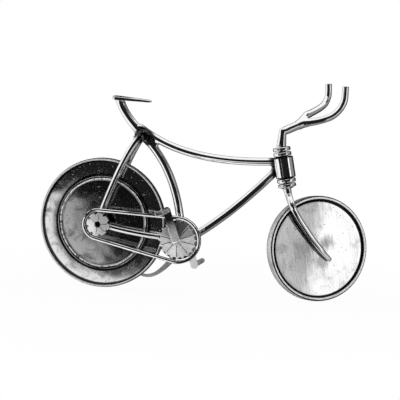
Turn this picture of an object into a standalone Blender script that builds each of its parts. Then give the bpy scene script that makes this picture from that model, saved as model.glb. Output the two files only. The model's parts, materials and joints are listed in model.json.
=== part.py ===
"""Small polished silver bicycle, a desk ornament in the shape of a track racing machine.

The working frame has X forward from the rear axle, Y to the rider's left and Z up from
the ground. The front end is shown turned to the left, with both wheels on the ground.
"""

from math import acos, atan2, cos, hypot, pi, radians, sin, sqrt

import bmesh
import bpy
from mathutils import Matrix, Vector

MM = 0.001

# Stance
WHEELBASE = 74.0 * MM
HEAD_LEAN = radians(11.1)
STEER_AT_REST = radians(33.0)
FORK_RAKE = 7.2 * MM

# Gaps between pieces
JOINT_GAP = 0.2 * MM
RUNNING_GAP = 0.3 * MM
CUT_MARGIN = 1.0 * MM
ROD_END_EDGE = 0.12 * MM

# Rear wheel
REAR_WHEEL_RADIUS = 22.05 * MM
REAR_RIM_HALF_WIDTH = 1.3 * MM
REAR_RIM_DEPTH = 0.9 * MM
REAR_WEB_HALF_THICKNESS = 1.1 * MM
REAR_DISH_DEPTH = 0.35 * MM
REAR_BEAD_RADIUS = 15.2 * MM
REAR_BEAD_WIDTH = 1.1 * MM
REAR_BEAD_HEIGHT = 0.35 * MM
REAR_GROOVE_WIDTH = 0.7 * MM
REAR_FACE_FILLET = 0.3 * MM
REAR_HUB_RADIUS = 2.6 * MM
REAR_HUB_HALF_WIDTH = 2.1 * MM
REAR_HUB_EDGE = 0.2 * MM
REAR_AXLE_RADIUS = 0.9 * MM
REAR_AXLE_CAP_RADIUS = 1.6 * MM
REAR_AXLE_CAP_THICKNESS = 0.8 * MM
REAR_AXLE_CAP_EDGE = 0.3 * MM

# Front wheel
FRONT_WHEEL_RADIUS = 17.4 * MM
FRONT_RIM_HALF_WIDTH = 2.0 * MM
FRONT_RIM_DEPTH = 1.2 * MM
FRONT_WEB_HALF_THICKNESS = 1.35 * MM
FRONT_DISH_DEPTH = 0.08 * MM
FRONT_GROOVE_DEPTH = 0.25 * MM
FRONT_GROOVE_WIDTH = 0.3 * MM
FRONT_GROOVE_SLOPE = 0.15 * MM
FRONT_BUSH_RADIUS = 1.5 * MM
FRONT_BUSH_HALF_WIDTH = 1.35 * MM
FRONT_BUSH_EDGE = 0.15 * MM
FRONT_AXLE_RADIUS = 0.5 * MM
FRONT_AXLE_HEAD_RADIUS = 1.5 * MM
FRONT_AXLE_HEAD_THICKNESS = 0.55 * MM
FRONT_AXLE_END_RECESS = 0.45 * MM
FRONT_AXLE_FIT = 0.12 * MM

# Head tube, headset and steerer
HEAD_TUBE_RADIUS = 3.25 * MM
HEAD_TUBE_LENGTH = 7.0 * MM
HEAD_EDGE = 0.35 * MM
STEERER_RADIUS = 1.15 * MM
HEADSET_RING_RADIUS = 2.95 * MM
HEADSET_RING_HEIGHT = 1.35 * MM
HEADSET_EDGE = 0.4 * MM
LOWER_CUP_RADIUS = 3.1 * MM
LOCKNUT_RADIUS = 2.9 * MM
LOWER_RACE_HEIGHT = 1.6 * MM
LOWER_RACE_FLARE = 0.85 * MM
LOWER_RACE_FOOT_RADIUS = 1.75 * MM
TYRE_TO_HEADSET = 3.9 * MM

# Fork blade, one rod on the drive side only
BLADE_NECK_RADIUS = 1.2 * MM
BLADE_RADIUS = 1.1 * MM
BLADE_TIP_RADIUS = 0.75 * MM
BLADE_BEHIND_AXLE = 0.25 * MM
BLADE_TAIL = 5.6 * MM
BLADE_TAIL_TURN = radians(6.0)
BLADE_TO_RIM = 0.25 * MM
BLADE_TO_WEB = 0.3 * MM
BLADE_NECK_DROP = 0.45 * MM

# Stem and bars, in the steered frame, from the middle of the head tube
QUILL_FOOT_RADIUS = 1.6 * MM
QUILL_TOP_RADIUS = 1.2 * MM
QUILL_HEIGHT = 4.7 * MM
QUILL_SET_FORWARD = 1.3 * MM
EXTENSION_RADIUS = 1.45 * MM
EXTENSION_REACH = 8.1 * MM
EXTENSION_RISE = 1.85 * MM
HORN_RADIUS = 1.18 * MM
HORN_TIP_RADIUS = 1.1 * MM
HORN_SPREAD = 5.6 * MM
HORN_REACH = 14.1 * MM
RIGHT_HORN_RISE = 9.6 * MM
LEFT_HORN_RISE = 9.3 * MM
LEFT_HORN_SET_ON = 0.75 * MM

# Frame tubes
BOTTOM_BRACKET_FORWARD = 27.6 * MM
BOTTOM_BRACKET_DROP = 3.55 * MM
BOTTOM_BRACKET_RADIUS = 2.6 * MM
BOTTOM_BRACKET_HALF_WIDTH = 4.2 * MM
TOP_TUBE_RADIUS = 1.27 * MM
TOP_TUBE_UP_HEAD = 2.05 * MM
DOWN_TUBE_RADIUS = 1.3 * MM
DOWN_TUBE_DOWN_HEAD = 0.4 * MM
DOWN_TUBE_IN_HEAD = 1.9 * MM
SEAT_TUBE_RADIUS = 1.35 * MM
SEAT_POST_RADIUS = 1.45 * MM
SEAT_POST_TOP_RADIUS = 1.75 * MM
SEAT_STAY_RADIUS = 1.15 * MM
CHAIN_STAY_RADIUS = 0.95 * MM
STAY_TO_HUB = 0.35 * MM
SEAT_STAY_TOP_SPREAD = 1.32 * MM
CHAIN_STAY_FRONT_SPREAD = 2.9 * MM
DROPOUT_RADIUS = 2.3 * MM
DROPOUT_THICKNESS = 1.7 * MM
DROPOUT_EDGE = 0.3 * MM
SHELL_EDGE = 0.25 * MM

# Ends and handles of the frame's curves, as millimetres forward and up from what they join
SEAT_POST_LEAVES_SADDLE = (0.9, -4.6)
SEAT_POST_MEETS_LUG = (-3.3, 3.7)
SEAT_TUBE_LEAVES_LUG = (8.1, -7.0)
SEAT_TUBE_MEETS_SHELL = (-1.0, 16.5)
TOP_TUBE_FROM_LUG = (-1.6, 3.1)
TOP_TUBE_LEAVES_LUG = (11.2, -8.6)
TOP_TUBE_MEETS_HEAD = (-22.7, -2.2)
DOWN_TUBE_FROM_SHELL = (0.9, -1.0)
DOWN_TUBE_LEAVES_SHELL = (9.5, 5.1)
DOWN_TUBE_MEETS_HEAD = (-9.3, -10.2)
SEAT_STAY_FROM_AXLE = (-0.8, 0.4)
SEAT_STAY_LEAVES_AXLE = (4.5, 14.9)
SEAT_STAY_MEETS_LUG = (-3.8, -5.0)
SEAT_STAY_IN_LUG = (-0.5, -0.9)
CHAIN_STAY_LEAVES_AXLE = (6.0, -1.9)
CHAIN_STAY_MEETS_SHELL = (-9.0, 0.2)

# Seat lug, the soldered joint under the seat post
LUG_FORWARD = 12.9 * MM
LUG_HEIGHT = 52.5 * MM
LUG_REACH = 5.9 * MM
LUG_RISE = 4.2 * MM
LUG_THICKNESS = 2.9 * MM
LUG_EDGE = 0.75 * MM
HEAD_GUSSET_THICKNESS = 1.9 * MM
HEAD_GUSSET_REACH = 4.2 * MM

# Saddle
SADDLE_REAR = 2.6 * MM
SADDLE_LENGTH = 13.1 * MM
SADDLE_HEIGHT = 65.4 * MM
SADDLE_NOSE_DROP = 0.9 * MM
SADDLE_REAR_WIDTH = 6.6 * MM
SADDLE_NOSE_WIDTH = 1.9 * MM
SADDLE_THICKNESS = 1.25 * MM
SADDLE_NOSE_THICKNESS = 0.7 * MM
SADDLE_CROWN = 0.35 * MM
SEAT_POST_FORWARD = 2.2 * MM
SEAT_POST_IN_SADDLE = 0.38 * MM

# Drive train
SPROCKET_RADIUS = 4.0 * MM
SPROCKET_LOBES = 8
SPROCKET_NOTCH_RADIUS = 0.5 * MM
SPROCKET_THICKNESS = 1.0 * MM
SPROCKET_BOSS_RADIUS = 1.8 * MM
SPROCKET_CROWN = 0.12 * MM
SPROCKET_EDGE = 0.12 * MM
SPROCKET_TURN = radians(12.0)
CHAINRING_RADIUS = 6.55 * MM
CHAINRING_TEETH = 20
CHAINRING_TOOTH_DEPTH = 0.75 * MM
CHAINRING_THICKNESS = 0.8 * MM
CHAINRING_DOME = 0.5 * MM
CHAINRING_EDGE = 0.1 * MM
CHAINRING_TOOTH_FOOT = 0.25 * MM
CHAINRING_BOSS_RADIUS = 2.2 * MM
CHAIN_THICKNESS = 1.1 * MM
CHAIN_WIDTH = 1.8 * MM
SPINDLE_RADIUS = 1.0 * MM
CRANK_LENGTH = 10.4 * MM
CRANK_WIDTH = 2.8 * MM
CRANK_TIP_WIDTH = 2.35 * MM
CRANK_THICKNESS = 1.4 * MM
CRANK_EDGE = 0.18 * MM
CRANK_BACK_LEAN = radians(20.0)
CRANK_HOLE_DEPTH = 0.9 * MM
PEDAL_LENGTH = 8.8 * MM
PEDAL_WIDTH = 2.9 * MM
PEDAL_HEIGHT = 1.7 * MM
PEDAL_WALL = 0.3 * MM
PEDAL_END_WALL = 2.5 * MM
PEDAL_PIN_RADIUS = 0.35 * MM
PEDAL_PIN_REACH = 4.0 * MM
RIGHT_PEDAL_TILT = radians(13.0)
LEFT_PEDAL_TILT = radians(30.0)

# Side stand
STAND_PIVOT_BACK = 0.7 * MM
STAND_PIVOT_DROP = 4.1 * MM
STAND_EYE_RADIUS = 1.15 * MM
STAND_THICKNESS = 1.1 * MM
STAND_PIN_RADIUS = 0.4 * MM
STAND_PIN_HEAD_RADIUS = 0.85 * MM
STAND_PIN_HEAD_THICKNESS = 0.3 * MM
STAND_BRACKET_THICKNESS = 1.5 * MM
STAND_LENGTH_BACK = 16.4 * MM
STAND_TIP_DROP = 8.2 * MM
STAND_SAG = 5.0 * MM
STAND_TIP_WIDTH = 0.4 * MM

# Colours of the metal, as red, green and blue
BRIGHT_SILVER = (0.86, 0.85, 0.83)
SHADED_SILVER = (0.62, 0.61, 0.60)
TARNISHED_SILVER = (0.20, 0.195, 0.19)

# Facets
ROD_SIDES = 12
WHEEL_SEGMENTS = 44
RING_SEGMENTS = 22
SMALL_SEGMENTS = 16
PIN_SEGMENTS = 12

# How large the empties are drawn
EMPTY_SIZE = 3.0 * MM


def clear_scene():
    """Remove whatever the opened file shows."""
    for item in list(bpy.data.objects):
        bpy.data.objects.remove(item, do_unlink=True)


def metal(name, colour, roughness):
    """One metal for one piece."""
    made = bpy.data.materials.new(name)
    made.use_nodes = True
    shader = made.node_tree.nodes["Principled BSDF"]
    shader.inputs["Base Color"].default_value = (*colour, 1.0)
    shader.inputs["Roughness"].default_value = roughness
    shader.inputs["Metallic"].default_value = 1.0
    made.diffuse_color = (*colour, 1.0)
    return made


def place_empty(name, parent, location, rotation=None):
    """An empty on a joint's axis, which carries the pieces that turn about it."""
    empty = bpy.data.objects.new(name, None)
    empty.empty_display_size = EMPTY_SIZE
    bpy.context.collection.objects.link(empty)
    empty.parent = parent
    turn = rotation.to_4x4() if rotation else Matrix.Identity(4)
    empty.matrix_basis = Matrix.Translation(location) @ turn
    return empty


def make_piece(name, shape, parent, colour=BRIGHT_SILVER, roughness=0.12, crease=35.0):
    """Turn a bmesh into a named object with its own metal."""
    bmesh.ops.recalc_face_normals(shape, faces=shape.faces)
    mesh = bpy.data.meshes.new(name)
    shape.to_mesh(mesh)
    shape.free()
    mesh.shade_smooth()
    mesh.set_sharp_from_angle(angle=radians(crease))
    mesh.materials.append(metal(name + "_metal", colour, roughness))
    piece = bpy.data.objects.new(name, mesh)
    piece.parent = parent
    bpy.context.collection.objects.link(piece)
    return piece


def make_cutter(name, shape, parent):
    """A guide shape that cuts its neighbours and isn't part of the bicycle."""
    bmesh.ops.recalc_face_normals(shape, faces=shape.faces)
    mesh = bpy.data.meshes.new(name)
    shape.to_mesh(mesh)
    shape.free()
    guide = bpy.data.objects.new(name, mesh)
    guide.parent = parent
    guide.hide_render = True
    guide.display_type = "WIRE"
    bpy.context.collection.objects.link(guide)
    return guide


def cut(piece, guide):
    """Take the guide's volume out of the piece."""
    step = piece.modifiers.new("cut_" + guide.name, "BOOLEAN")
    step.operation = "DIFFERENCE"
    step.solver = "EXACT"
    step.object = guide


def soften_edges(piece, width, angle=40.0):
    """A small rounded edge along the sharp corners."""
    step = piece.modifiers.new("soft_edge", "BEVEL")
    step.width = width
    step.segments = 2
    step.limit_method = "ANGLE"
    step.angle_limit = radians(angle)
    step.harden_normals = False


def bezier(start, first, second, end, count):
    """Points along a smooth curve from start to end."""
    points = []
    for i in range(count + 1):
        t = i / count
        s = 1.0 - t
        points.append(s**3 * start + 3 * s * s * t * first + 3 * s * t * t * second + t**3 * end)
    return points


def aside(point, offset):
    """A point moved forward and up by an offset in millimetres."""
    return Vector((point.x + offset[0] * MM, point.y, point.z + offset[1] * MM))


def tube_curve(start, leaves, meets, end, count):
    """A tube's centreline, whose handles are offsets from its own two ends."""
    return bezier(start, aside(start, leaves), aside(end, meets), end, count)


def spread(first, last, count):
    """A radius at each point of a path, growing or shrinking evenly."""
    return [first + (last - first) * i / count for i in range(count + 1)]


def bridge(shape, one, other):
    """Join two rings of the same number of points with four-sided faces."""
    size = len(one)
    for i in range(size):
        j = (i + 1) % size
        shape.faces.new((one[i], one[j], other[j], other[i]))


def rod(points, radii, sides=ROD_SIDES, edge=0.0):
    """A solid round rod along a path, mitred at its bends, with flat ends.

    An edge above zero takes the corner off both ends.
    """
    points = [Vector(point) for point in points]
    radii = list(radii)
    if edge > 0.0:
        ahead = (points[1] - points[0]).normalized()
        behind = (points[-1] - points[-2]).normalized()
        points.insert(1, points[0] + ahead * edge)
        radii.insert(1, radii[0])
        radii[0] -= edge
        points.insert(-1, points[-1] - behind * edge)
        radii.insert(-1, radii[-1])
        radii[-1] -= edge
    runs = [(b - a).normalized() for a, b in zip(points, points[1:])]
    shape = bmesh.new()
    side = Vector((0.0, 1.0, 0.0))
    if abs(runs[0].y) > 0.9:
        side = Vector((1.0, 0.0, 0.0))
    rings = []
    for i, point in enumerate(points):
        before = runs[max(i - 1, 0)]
        after = runs[min(i, len(runs) - 1)]
        plane = (before + after).normalized()
        side = (side - side.dot(before) * before).normalized()
        up = before.cross(side)
        ring = []
        for k in range(sides):
            angle = 2 * pi * (k + 0.5) / sides
            offset = radii[i] * (cos(angle) * side + sin(angle) * up)
            offset = offset - before * (offset.dot(plane) / before.dot(plane))
            ring.append(shape.verts.new(point + offset))
        rings.append(ring)
    for one, other in zip(rings, rings[1:]):
        bridge(shape, one, other)
    shape.faces.new(rings[0])
    shape.faces.new(list(reversed(rings[-1])))
    return shape


def even_rod(points, radius):
    """A solid rod of one radius along a path."""
    return rod(points, [radius] * len(points))


def turned(profile, segments, axis="Y", bored=True):
    """Revolve a profile of (radius, height) points about an axis.

    A bored profile is a closed loop. A solid one starts and ends on the axis.
    """
    shape = bmesh.new()

    def corner(radius, height, angle):
        across = radius * cos(angle)
        along = radius * sin(angle)
        if axis == "Y":
            return Vector((across, height, along))
        return Vector((across, along, height))

    rings = []
    for radius, height in profile:
        if radius <= 0.0:
            rings.append([shape.verts.new(corner(0.0, height, 0.0))])
        else:
            angles = [2 * pi * k / segments for k in range(segments)]
            rings.append([shape.verts.new(corner(radius, height, a)) for a in angles])
    pairs = list(zip(rings, rings[1:]))
    if bored:
        pairs.append((rings[-1], rings[0]))
    for one, other in pairs:
        if len(one) == 1:
            for k in range(segments):
                shape.faces.new((one[0], other[k], other[(k + 1) % segments]))
        elif len(other) == 1:
            for k in range(segments):
                shape.faces.new((one[k], one[(k + 1) % segments], other[0]))
        else:
            bridge(shape, one, other)
    return shape


def cylinder(radius, low, high, segments=SMALL_SEGMENTS, axis="Y", edge=0.0):
    """A plain turned pin between two heights on its axis."""
    profile = [(0.0, low), (radius - edge, low)]
    if edge > 0.0:
        profile += [(radius, low + edge), (radius, high - edge), (radius - edge, high)]
    else:
        profile += [(radius, high)]
        profile[1] = (radius, low)
    profile.append((0.0, high))
    return turned(profile, segments, axis, bored=False)


def collar(outer, inner, low, high, segments=RING_SEGMENTS, axis="Y", edge=0.0):
    """A bored ring, with its outer corners taken off."""
    profile = [(inner, low), (outer - edge, low)]
    if edge > 0.0:
        profile += [(outer, low + edge), (outer, high - edge)]
    profile += [(outer - edge, high), (inner, high)]
    return turned(profile, segments, axis)


def place_shape(shape, location):
    """Move a shape before it becomes a piece."""
    bmesh.ops.translate(shape, verts=shape.verts, vec=Vector(location))
    return shape


def plate(outline, low, high):
    """Extrude an outline of (x, z) points between two sideways positions."""
    shape = bmesh.new()
    near = [shape.verts.new((x, low, z)) for x, z in outline]
    far = [shape.verts.new((x, high, z)) for x, z in outline]
    bridge(shape, near, far)
    shape.faces.new(list(reversed(near)))
    shape.faces.new(far)
    return shape


def grown(outline, distance):
    """Move each side of an anticlockwise outline outwards by the same distance."""
    result = []
    count = len(outline)
    for i in range(count):
        before = Vector(outline[i]) - Vector(outline[i - 1])
        after = Vector(outline[(i + 1) % count]) - Vector(outline[i])
        one = Vector((before.y, -before.x)).normalized()
        two = Vector((after.y, -after.x)).normalized()
        middle = (one + two).normalized()
        moved = Vector(outline[i]) + middle * (distance / middle.dot(one))
        result.append((moved.x, moved.y))
    return result


def arc(centre, radius, start, end, count):
    """Points on a circle in the XZ plane."""
    points = []
    for i in range(count + 1):
        angle = start + (end - start) * i / count
        points.append((centre[0] + radius * cos(angle), centre[1] + radius * sin(angle)))
    return points


def side_point(x, z, y=0.0):
    """A point given by its side view position."""
    return Vector((x, y, z))


# Places worked out from the sizes

steer_turn = Matrix.Rotation(-HEAD_LEAN, 3, "Y") @ Matrix.Rotation(STEER_AT_REST, 3, "Z")
steer_up = steer_turn @ Vector((0.0, 0.0, 1.0))
steer_ahead = steer_turn @ Vector((1.0, 0.0, 0.0))
steer_left = steer_turn @ Vector((0.0, 1.0, 0.0))
straight_ahead = Matrix.Rotation(-HEAD_LEAN, 3, "Y") @ Vector((1.0, 0.0, 0.0))

head_half = HEAD_TUBE_LENGTH / 2
cup_top = head_half + JOINT_GAP + HEADSET_RING_HEIGHT
locknut_top = cup_top + RUNNING_GAP + HEADSET_RING_HEIGHT
lower_cup_foot = -head_half - JOINT_GAP - HEADSET_RING_HEIGHT
race_foot = lower_cup_foot - RUNNING_GAP - LOWER_RACE_HEIGHT
axle_drop = FRONT_WHEEL_RADIUS + TYRE_TO_HEADSET - race_foot

front_tread_half = FRONT_RIM_HALF_WIDTH - FRONT_RIM_DEPTH / 2
front_height = (
    FRONT_WHEEL_RADIUS * sqrt(1.0 - steer_left.z**2) + front_tread_half * abs(steer_left.z)
)
head_centre = Vector(
    (
        WHEELBASE - FORK_RAKE * straight_ahead.x + axle_drop * steer_up.x,
        0.0,
        front_height - FORK_RAKE * steer_ahead.z + axle_drop * steer_up.z,
    )
)

rear_axle = Vector((0.0, 0.0, REAR_WHEEL_RADIUS))
crank_axle = Vector((BOTTOM_BRACKET_FORWARD, 0.0, REAR_WHEEL_RADIUS - BOTTOM_BRACKET_DROP))
lug_centre = Vector((LUG_FORWARD, 0.0, LUG_HEIGHT))

dropout_inner = REAR_HUB_HALF_WIDTH + STAY_TO_HUB
stay_offset = dropout_inner + DROPOUT_THICKNESS / 2
chain_offset = stay_offset + SEAT_STAY_RADIUS + RUNNING_GAP + CHAIN_WIDTH / 2
crank_inner = chain_offset + CHAIN_WIDTH / 2 + RUNNING_GAP
left_crank_inner = BOTTOM_BRACKET_HALF_WIDTH + 2 * RUNNING_GAP
blade_beside_rim = FRONT_RIM_HALF_WIDTH + BLADE_TO_RIM + BLADE_RADIUS
blade_offset = FRONT_WEB_HALF_THICKNESS + BLADE_TO_WEB + BLADE_RADIUS
stand_inner = dropout_inner + 0.5 * RUNNING_GAP
stand_outer = stand_inner + STAND_THICKNESS


def seat_lug_outline():
    """Side view of the lug, anticlockwise, drawn to its own scale and fitted to its size."""
    corners = [
        (-2.7, -2.1),
        (-1.3, -2.7),
        (-0.2, -1.6),
        (0.3, -2.5),
        (2.3, -4.2),
        (4.9, -3.4),
        (4.6, -2.3),
        (5.9, 0.2),
        (3.0, 1.75),
        (-1.5, 4.2),
        (-3.5, 1.9),
        (-2.9, 0.4),
    ]
    across = LUG_REACH / max(x for x, z in corners)
    up = LUG_RISE / max(z for x, z in corners)
    return [(LUG_FORWARD + across * x, LUG_HEIGHT + up * z) for x, z in corners]


def build_wheel(name, parent, half_profile, segments):
    """Turn a wheel from the profile of its left half, mirrored to the right."""
    right = [(radius, -height) for radius, height in reversed(half_profile)]
    return make_piece(name, turned(half_profile + right, segments), parent)


def build_rear_wheel(parent):
    """Dished disc wheel with a raised bead, its live axle and the sprocket."""
    web = REAR_WEB_HALF_THICKNESS
    bead = REAR_BEAD_RADIUS
    half_bead = REAR_BEAD_WIDTH / 2
    groove_end = bead + half_bead + REAR_GROOVE_WIDTH
    rim = REAR_WHEEL_RADIUS - REAR_RIM_DEPTH
    bore = REAR_AXLE_RADIUS + JOINT_GAP
    half = [
        (bore, REAR_HUB_HALF_WIDTH),
        (REAR_HUB_RADIUS - REAR_HUB_EDGE, REAR_HUB_HALF_WIDTH),
        (REAR_HUB_RADIUS, REAR_HUB_HALF_WIDTH - REAR_HUB_EDGE),
        (REAR_HUB_RADIUS + REAR_FACE_FILLET, web),
        (bead * 0.5, web - REAR_DISH_DEPTH),
        (bead - half_bead, web),
        (bead - half_bead * 0.3, web + REAR_BEAD_HEIGHT),
        (bead + half_bead * 0.5, web + REAR_BEAD_HEIGHT * 0.8),
        (bead + half_bead, web - REAR_DISH_DEPTH),
        (groove_end, web),
        (rim - REAR_FACE_FILLET, web),
        (rim, web - REAR_DISH_DEPTH * 0.5),
        (rim + REAR_RIM_DEPTH * 0.25, REAR_RIM_HALF_WIDTH),
        (REAR_WHEEL_RADIUS, REAR_RIM_HALF_WIDTH * 0.6),
    ]
    build_wheel("rear_wheel_disc", parent, half, WHEEL_SEGMENTS)

    cap_inner = dropout_inner + DROPOUT_THICKNESS + RUNNING_GAP
    cap_outer = cap_inner + REAR_AXLE_CAP_THICKNESS
    sprocket_face = -(chain_offset + SPROCKET_THICKNESS / 2)
    axle_end = sprocket_face + 0.7 * SPROCKET_THICKNESS
    profile = [
        (0.0, axle_end),
        (REAR_AXLE_RADIUS, axle_end),
        (REAR_AXLE_RADIUS, cap_inner),
        (REAR_AXLE_CAP_RADIUS, cap_inner),
        (REAR_AXLE_CAP_RADIUS, cap_outer - REAR_AXLE_CAP_EDGE),
        (REAR_AXLE_CAP_RADIUS - REAR_AXLE_CAP_EDGE, cap_outer),
        (0.0, cap_outer),
    ]
    make_piece("rear_axle", turned(profile, SMALL_SEGMENTS, bored=False), parent)

    build_sprocket(parent, sprocket_face)


def notched_radius(angle, lobes, radius, notch):
    """Edge of a round plate whose rim has evenly spaced round notches."""
    pitch = 2 * pi / lobes
    away = abs((angle + pitch / 2) % pitch - pitch / 2) * radius
    if away < notch:
        return radius - sqrt(notch**2 - away**2) * 1.5
    lobe = (away - notch) / (pitch * radius / 2 - notch)
    return radius - SPROCKET_CROWN * (1.0 - lobe) ** 2


def build_sprocket(parent, face):
    """Small sprocket with eight rounded lobes and a boss towards the frame."""
    pitch = 2 * pi / SPROCKET_LOBES
    notch_angle = SPROCKET_NOTCH_RADIUS / SPROCKET_RADIUS
    gap = pitch - 2 * notch_angle
    angles = []
    for lobe in range(SPROCKET_LOBES):
        middle = lobe * pitch + SPROCKET_TURN
        angles += [middle + step * notch_angle for step in (-1.0, -0.5, 0.5, 1.0)]
        angles += [middle + notch_angle + gap * part for part in (0.3, 0.7)]
    edge = [
        notched_radius(a - SPROCKET_TURN, SPROCKET_LOBES, SPROCKET_RADIUS, SPROCKET_NOTCH_RADIUS)
        for a in angles
    ]
    bore = REAR_AXLE_RADIUS + JOINT_GAP
    back = face + SPROCKET_THICKNESS
    boss_back = -(dropout_inner + DROPOUT_THICKNESS + RUNNING_GAP)
    root = SPROCKET_RADIUS - 2.2 * SPROCKET_NOTCH_RADIUS
    rings = [
        (bore, face),
        (root, face),
        ("edge", face + SPROCKET_EDGE),
        ("edge", back - SPROCKET_EDGE),
        (root, back),
        (SPROCKET_BOSS_RADIUS, back),
        (SPROCKET_BOSS_RADIUS, boss_back),
        (bore, boss_back),
    ]
    make_piece("rear_sprocket", toothed(rings, angles, edge), parent)


def toothed(rings, angles, edge):
    """Build a toothed wheel ring by ring; an edge ring follows the teeth."""
    shape = bmesh.new()
    made = []
    for radius, side in rings:
        ring = []
        for angle, rim in zip(angles, edge):
            reach = rim if radius == "edge" else radius
            ring.append(shape.verts.new((reach * cos(angle), side, reach * sin(angle))))
        made.append(ring)
    for one, other in zip(made, made[1:] + made[:1]):
        bridge(shape, one, other)
    return shape


def build_front_wheel(parent):
    """Flat disc wheel with a raised rounded rim, and the bush it runs on."""
    web = FRONT_WEB_HALF_THICKNESS
    rim = FRONT_WHEEL_RADIUS - FRONT_RIM_DEPTH
    width = FRONT_RIM_HALF_WIDTH
    corner = FRONT_RIM_DEPTH / 2
    bore = FRONT_BUSH_RADIUS + JOINT_GAP
    half = [
        (bore, web),
        (FRONT_WHEEL_RADIUS * 0.5, web - FRONT_DISH_DEPTH),
        (rim - FRONT_GROOVE_WIDTH - FRONT_GROOVE_SLOPE, web),
        (rim - FRONT_GROOVE_WIDTH, web - FRONT_GROOVE_DEPTH),
        (rim, web - FRONT_GROOVE_DEPTH),
        (rim, width - corner * 0.6),
        (rim + corner * 0.6, width),
        (rim + corner * 1.4, width - corner * 0.25),
        (FRONT_WHEEL_RADIUS, front_tread_half),
    ]
    build_wheel("front_wheel_disc", parent, half, WHEEL_SEGMENTS)
    bush = collar(
        FRONT_BUSH_RADIUS,
        FRONT_AXLE_RADIUS + RUNNING_GAP,
        -FRONT_BUSH_HALF_WIDTH,
        FRONT_BUSH_HALF_WIDTH,
        SMALL_SEGMENTS,
        edge=FRONT_BUSH_EDGE,
    )
    make_piece("front_hub_bush", bush, parent, SHADED_SILVER, 0.2)


def smooth_through(corners, steps):
    """A flowing curve that passes through every one of the corners."""
    ends = [2 * corners[0] - corners[1]] + list(corners) + [2 * corners[-1] - corners[-2]]
    points = []
    for i in range(1, len(ends) - 2):
        for k in range(steps):
            t = k / steps
            one, two, three, four = ends[i - 1 : i + 3]
            points.append(
                0.5
                * (
                    2 * two
                    + t * (three - one)
                    + t * t * (2 * one - 5 * two + 4 * three - four)
                    + t * t * t * (3 * two - 3 * three + four - one)
                )
            )
    points.append(corners[-1])
    return points


def ease(value):
    """Rise smoothly from 0 to 1."""
    value = min(max(value, 0.0), 1.0)
    return value * value * (3.0 - 2.0 * value)


def blade_path():
    """Centreline of the fork blade, from the neck past the axle to the tip."""
    start = side_point(0.0, race_foot - BLADE_NECK_DROP - JOINT_GAP)
    drop = -axle_drop - start.z
    # How far down the blade each point is, and how far it bows back, in millimetres.
    bows = [(-0.03, 0.0), (0.07, 0.75), (0.15, 1.7), (0.24, 2.4), (0.34, 2.6), (0.5, 2.4)]
    bows += [(0.66, 1.85), (0.83, 1.15), (1.0, BLADE_BEHIND_AXLE / MM)]
    corners = []
    for part, bow in bows:
        out = blade_beside_rim * ease(part / 0.27)
        out -= (blade_beside_rim - blade_offset) * ease((part - 0.45) / 0.5)
        corners.append(Vector((FORK_RAKE * part - bow * MM, -out, start.z + drop * part)))
    run = (corners[-1] - corners[-2]).normalized()
    inwards = Vector((0.0, (BLADE_RADIUS - BLADE_TIP_RADIUS) / BLADE_TAIL, 0.0))
    for reach in (0.5, 1.0):
        turn = Matrix.Rotation(-BLADE_TAIL_TURN * reach, 3, "Y")
        corners.append(corners[len(bows) - 1] + (turn @ run + inwards) * BLADE_TAIL * reach)
    return smooth_through(corners, 2)


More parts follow.
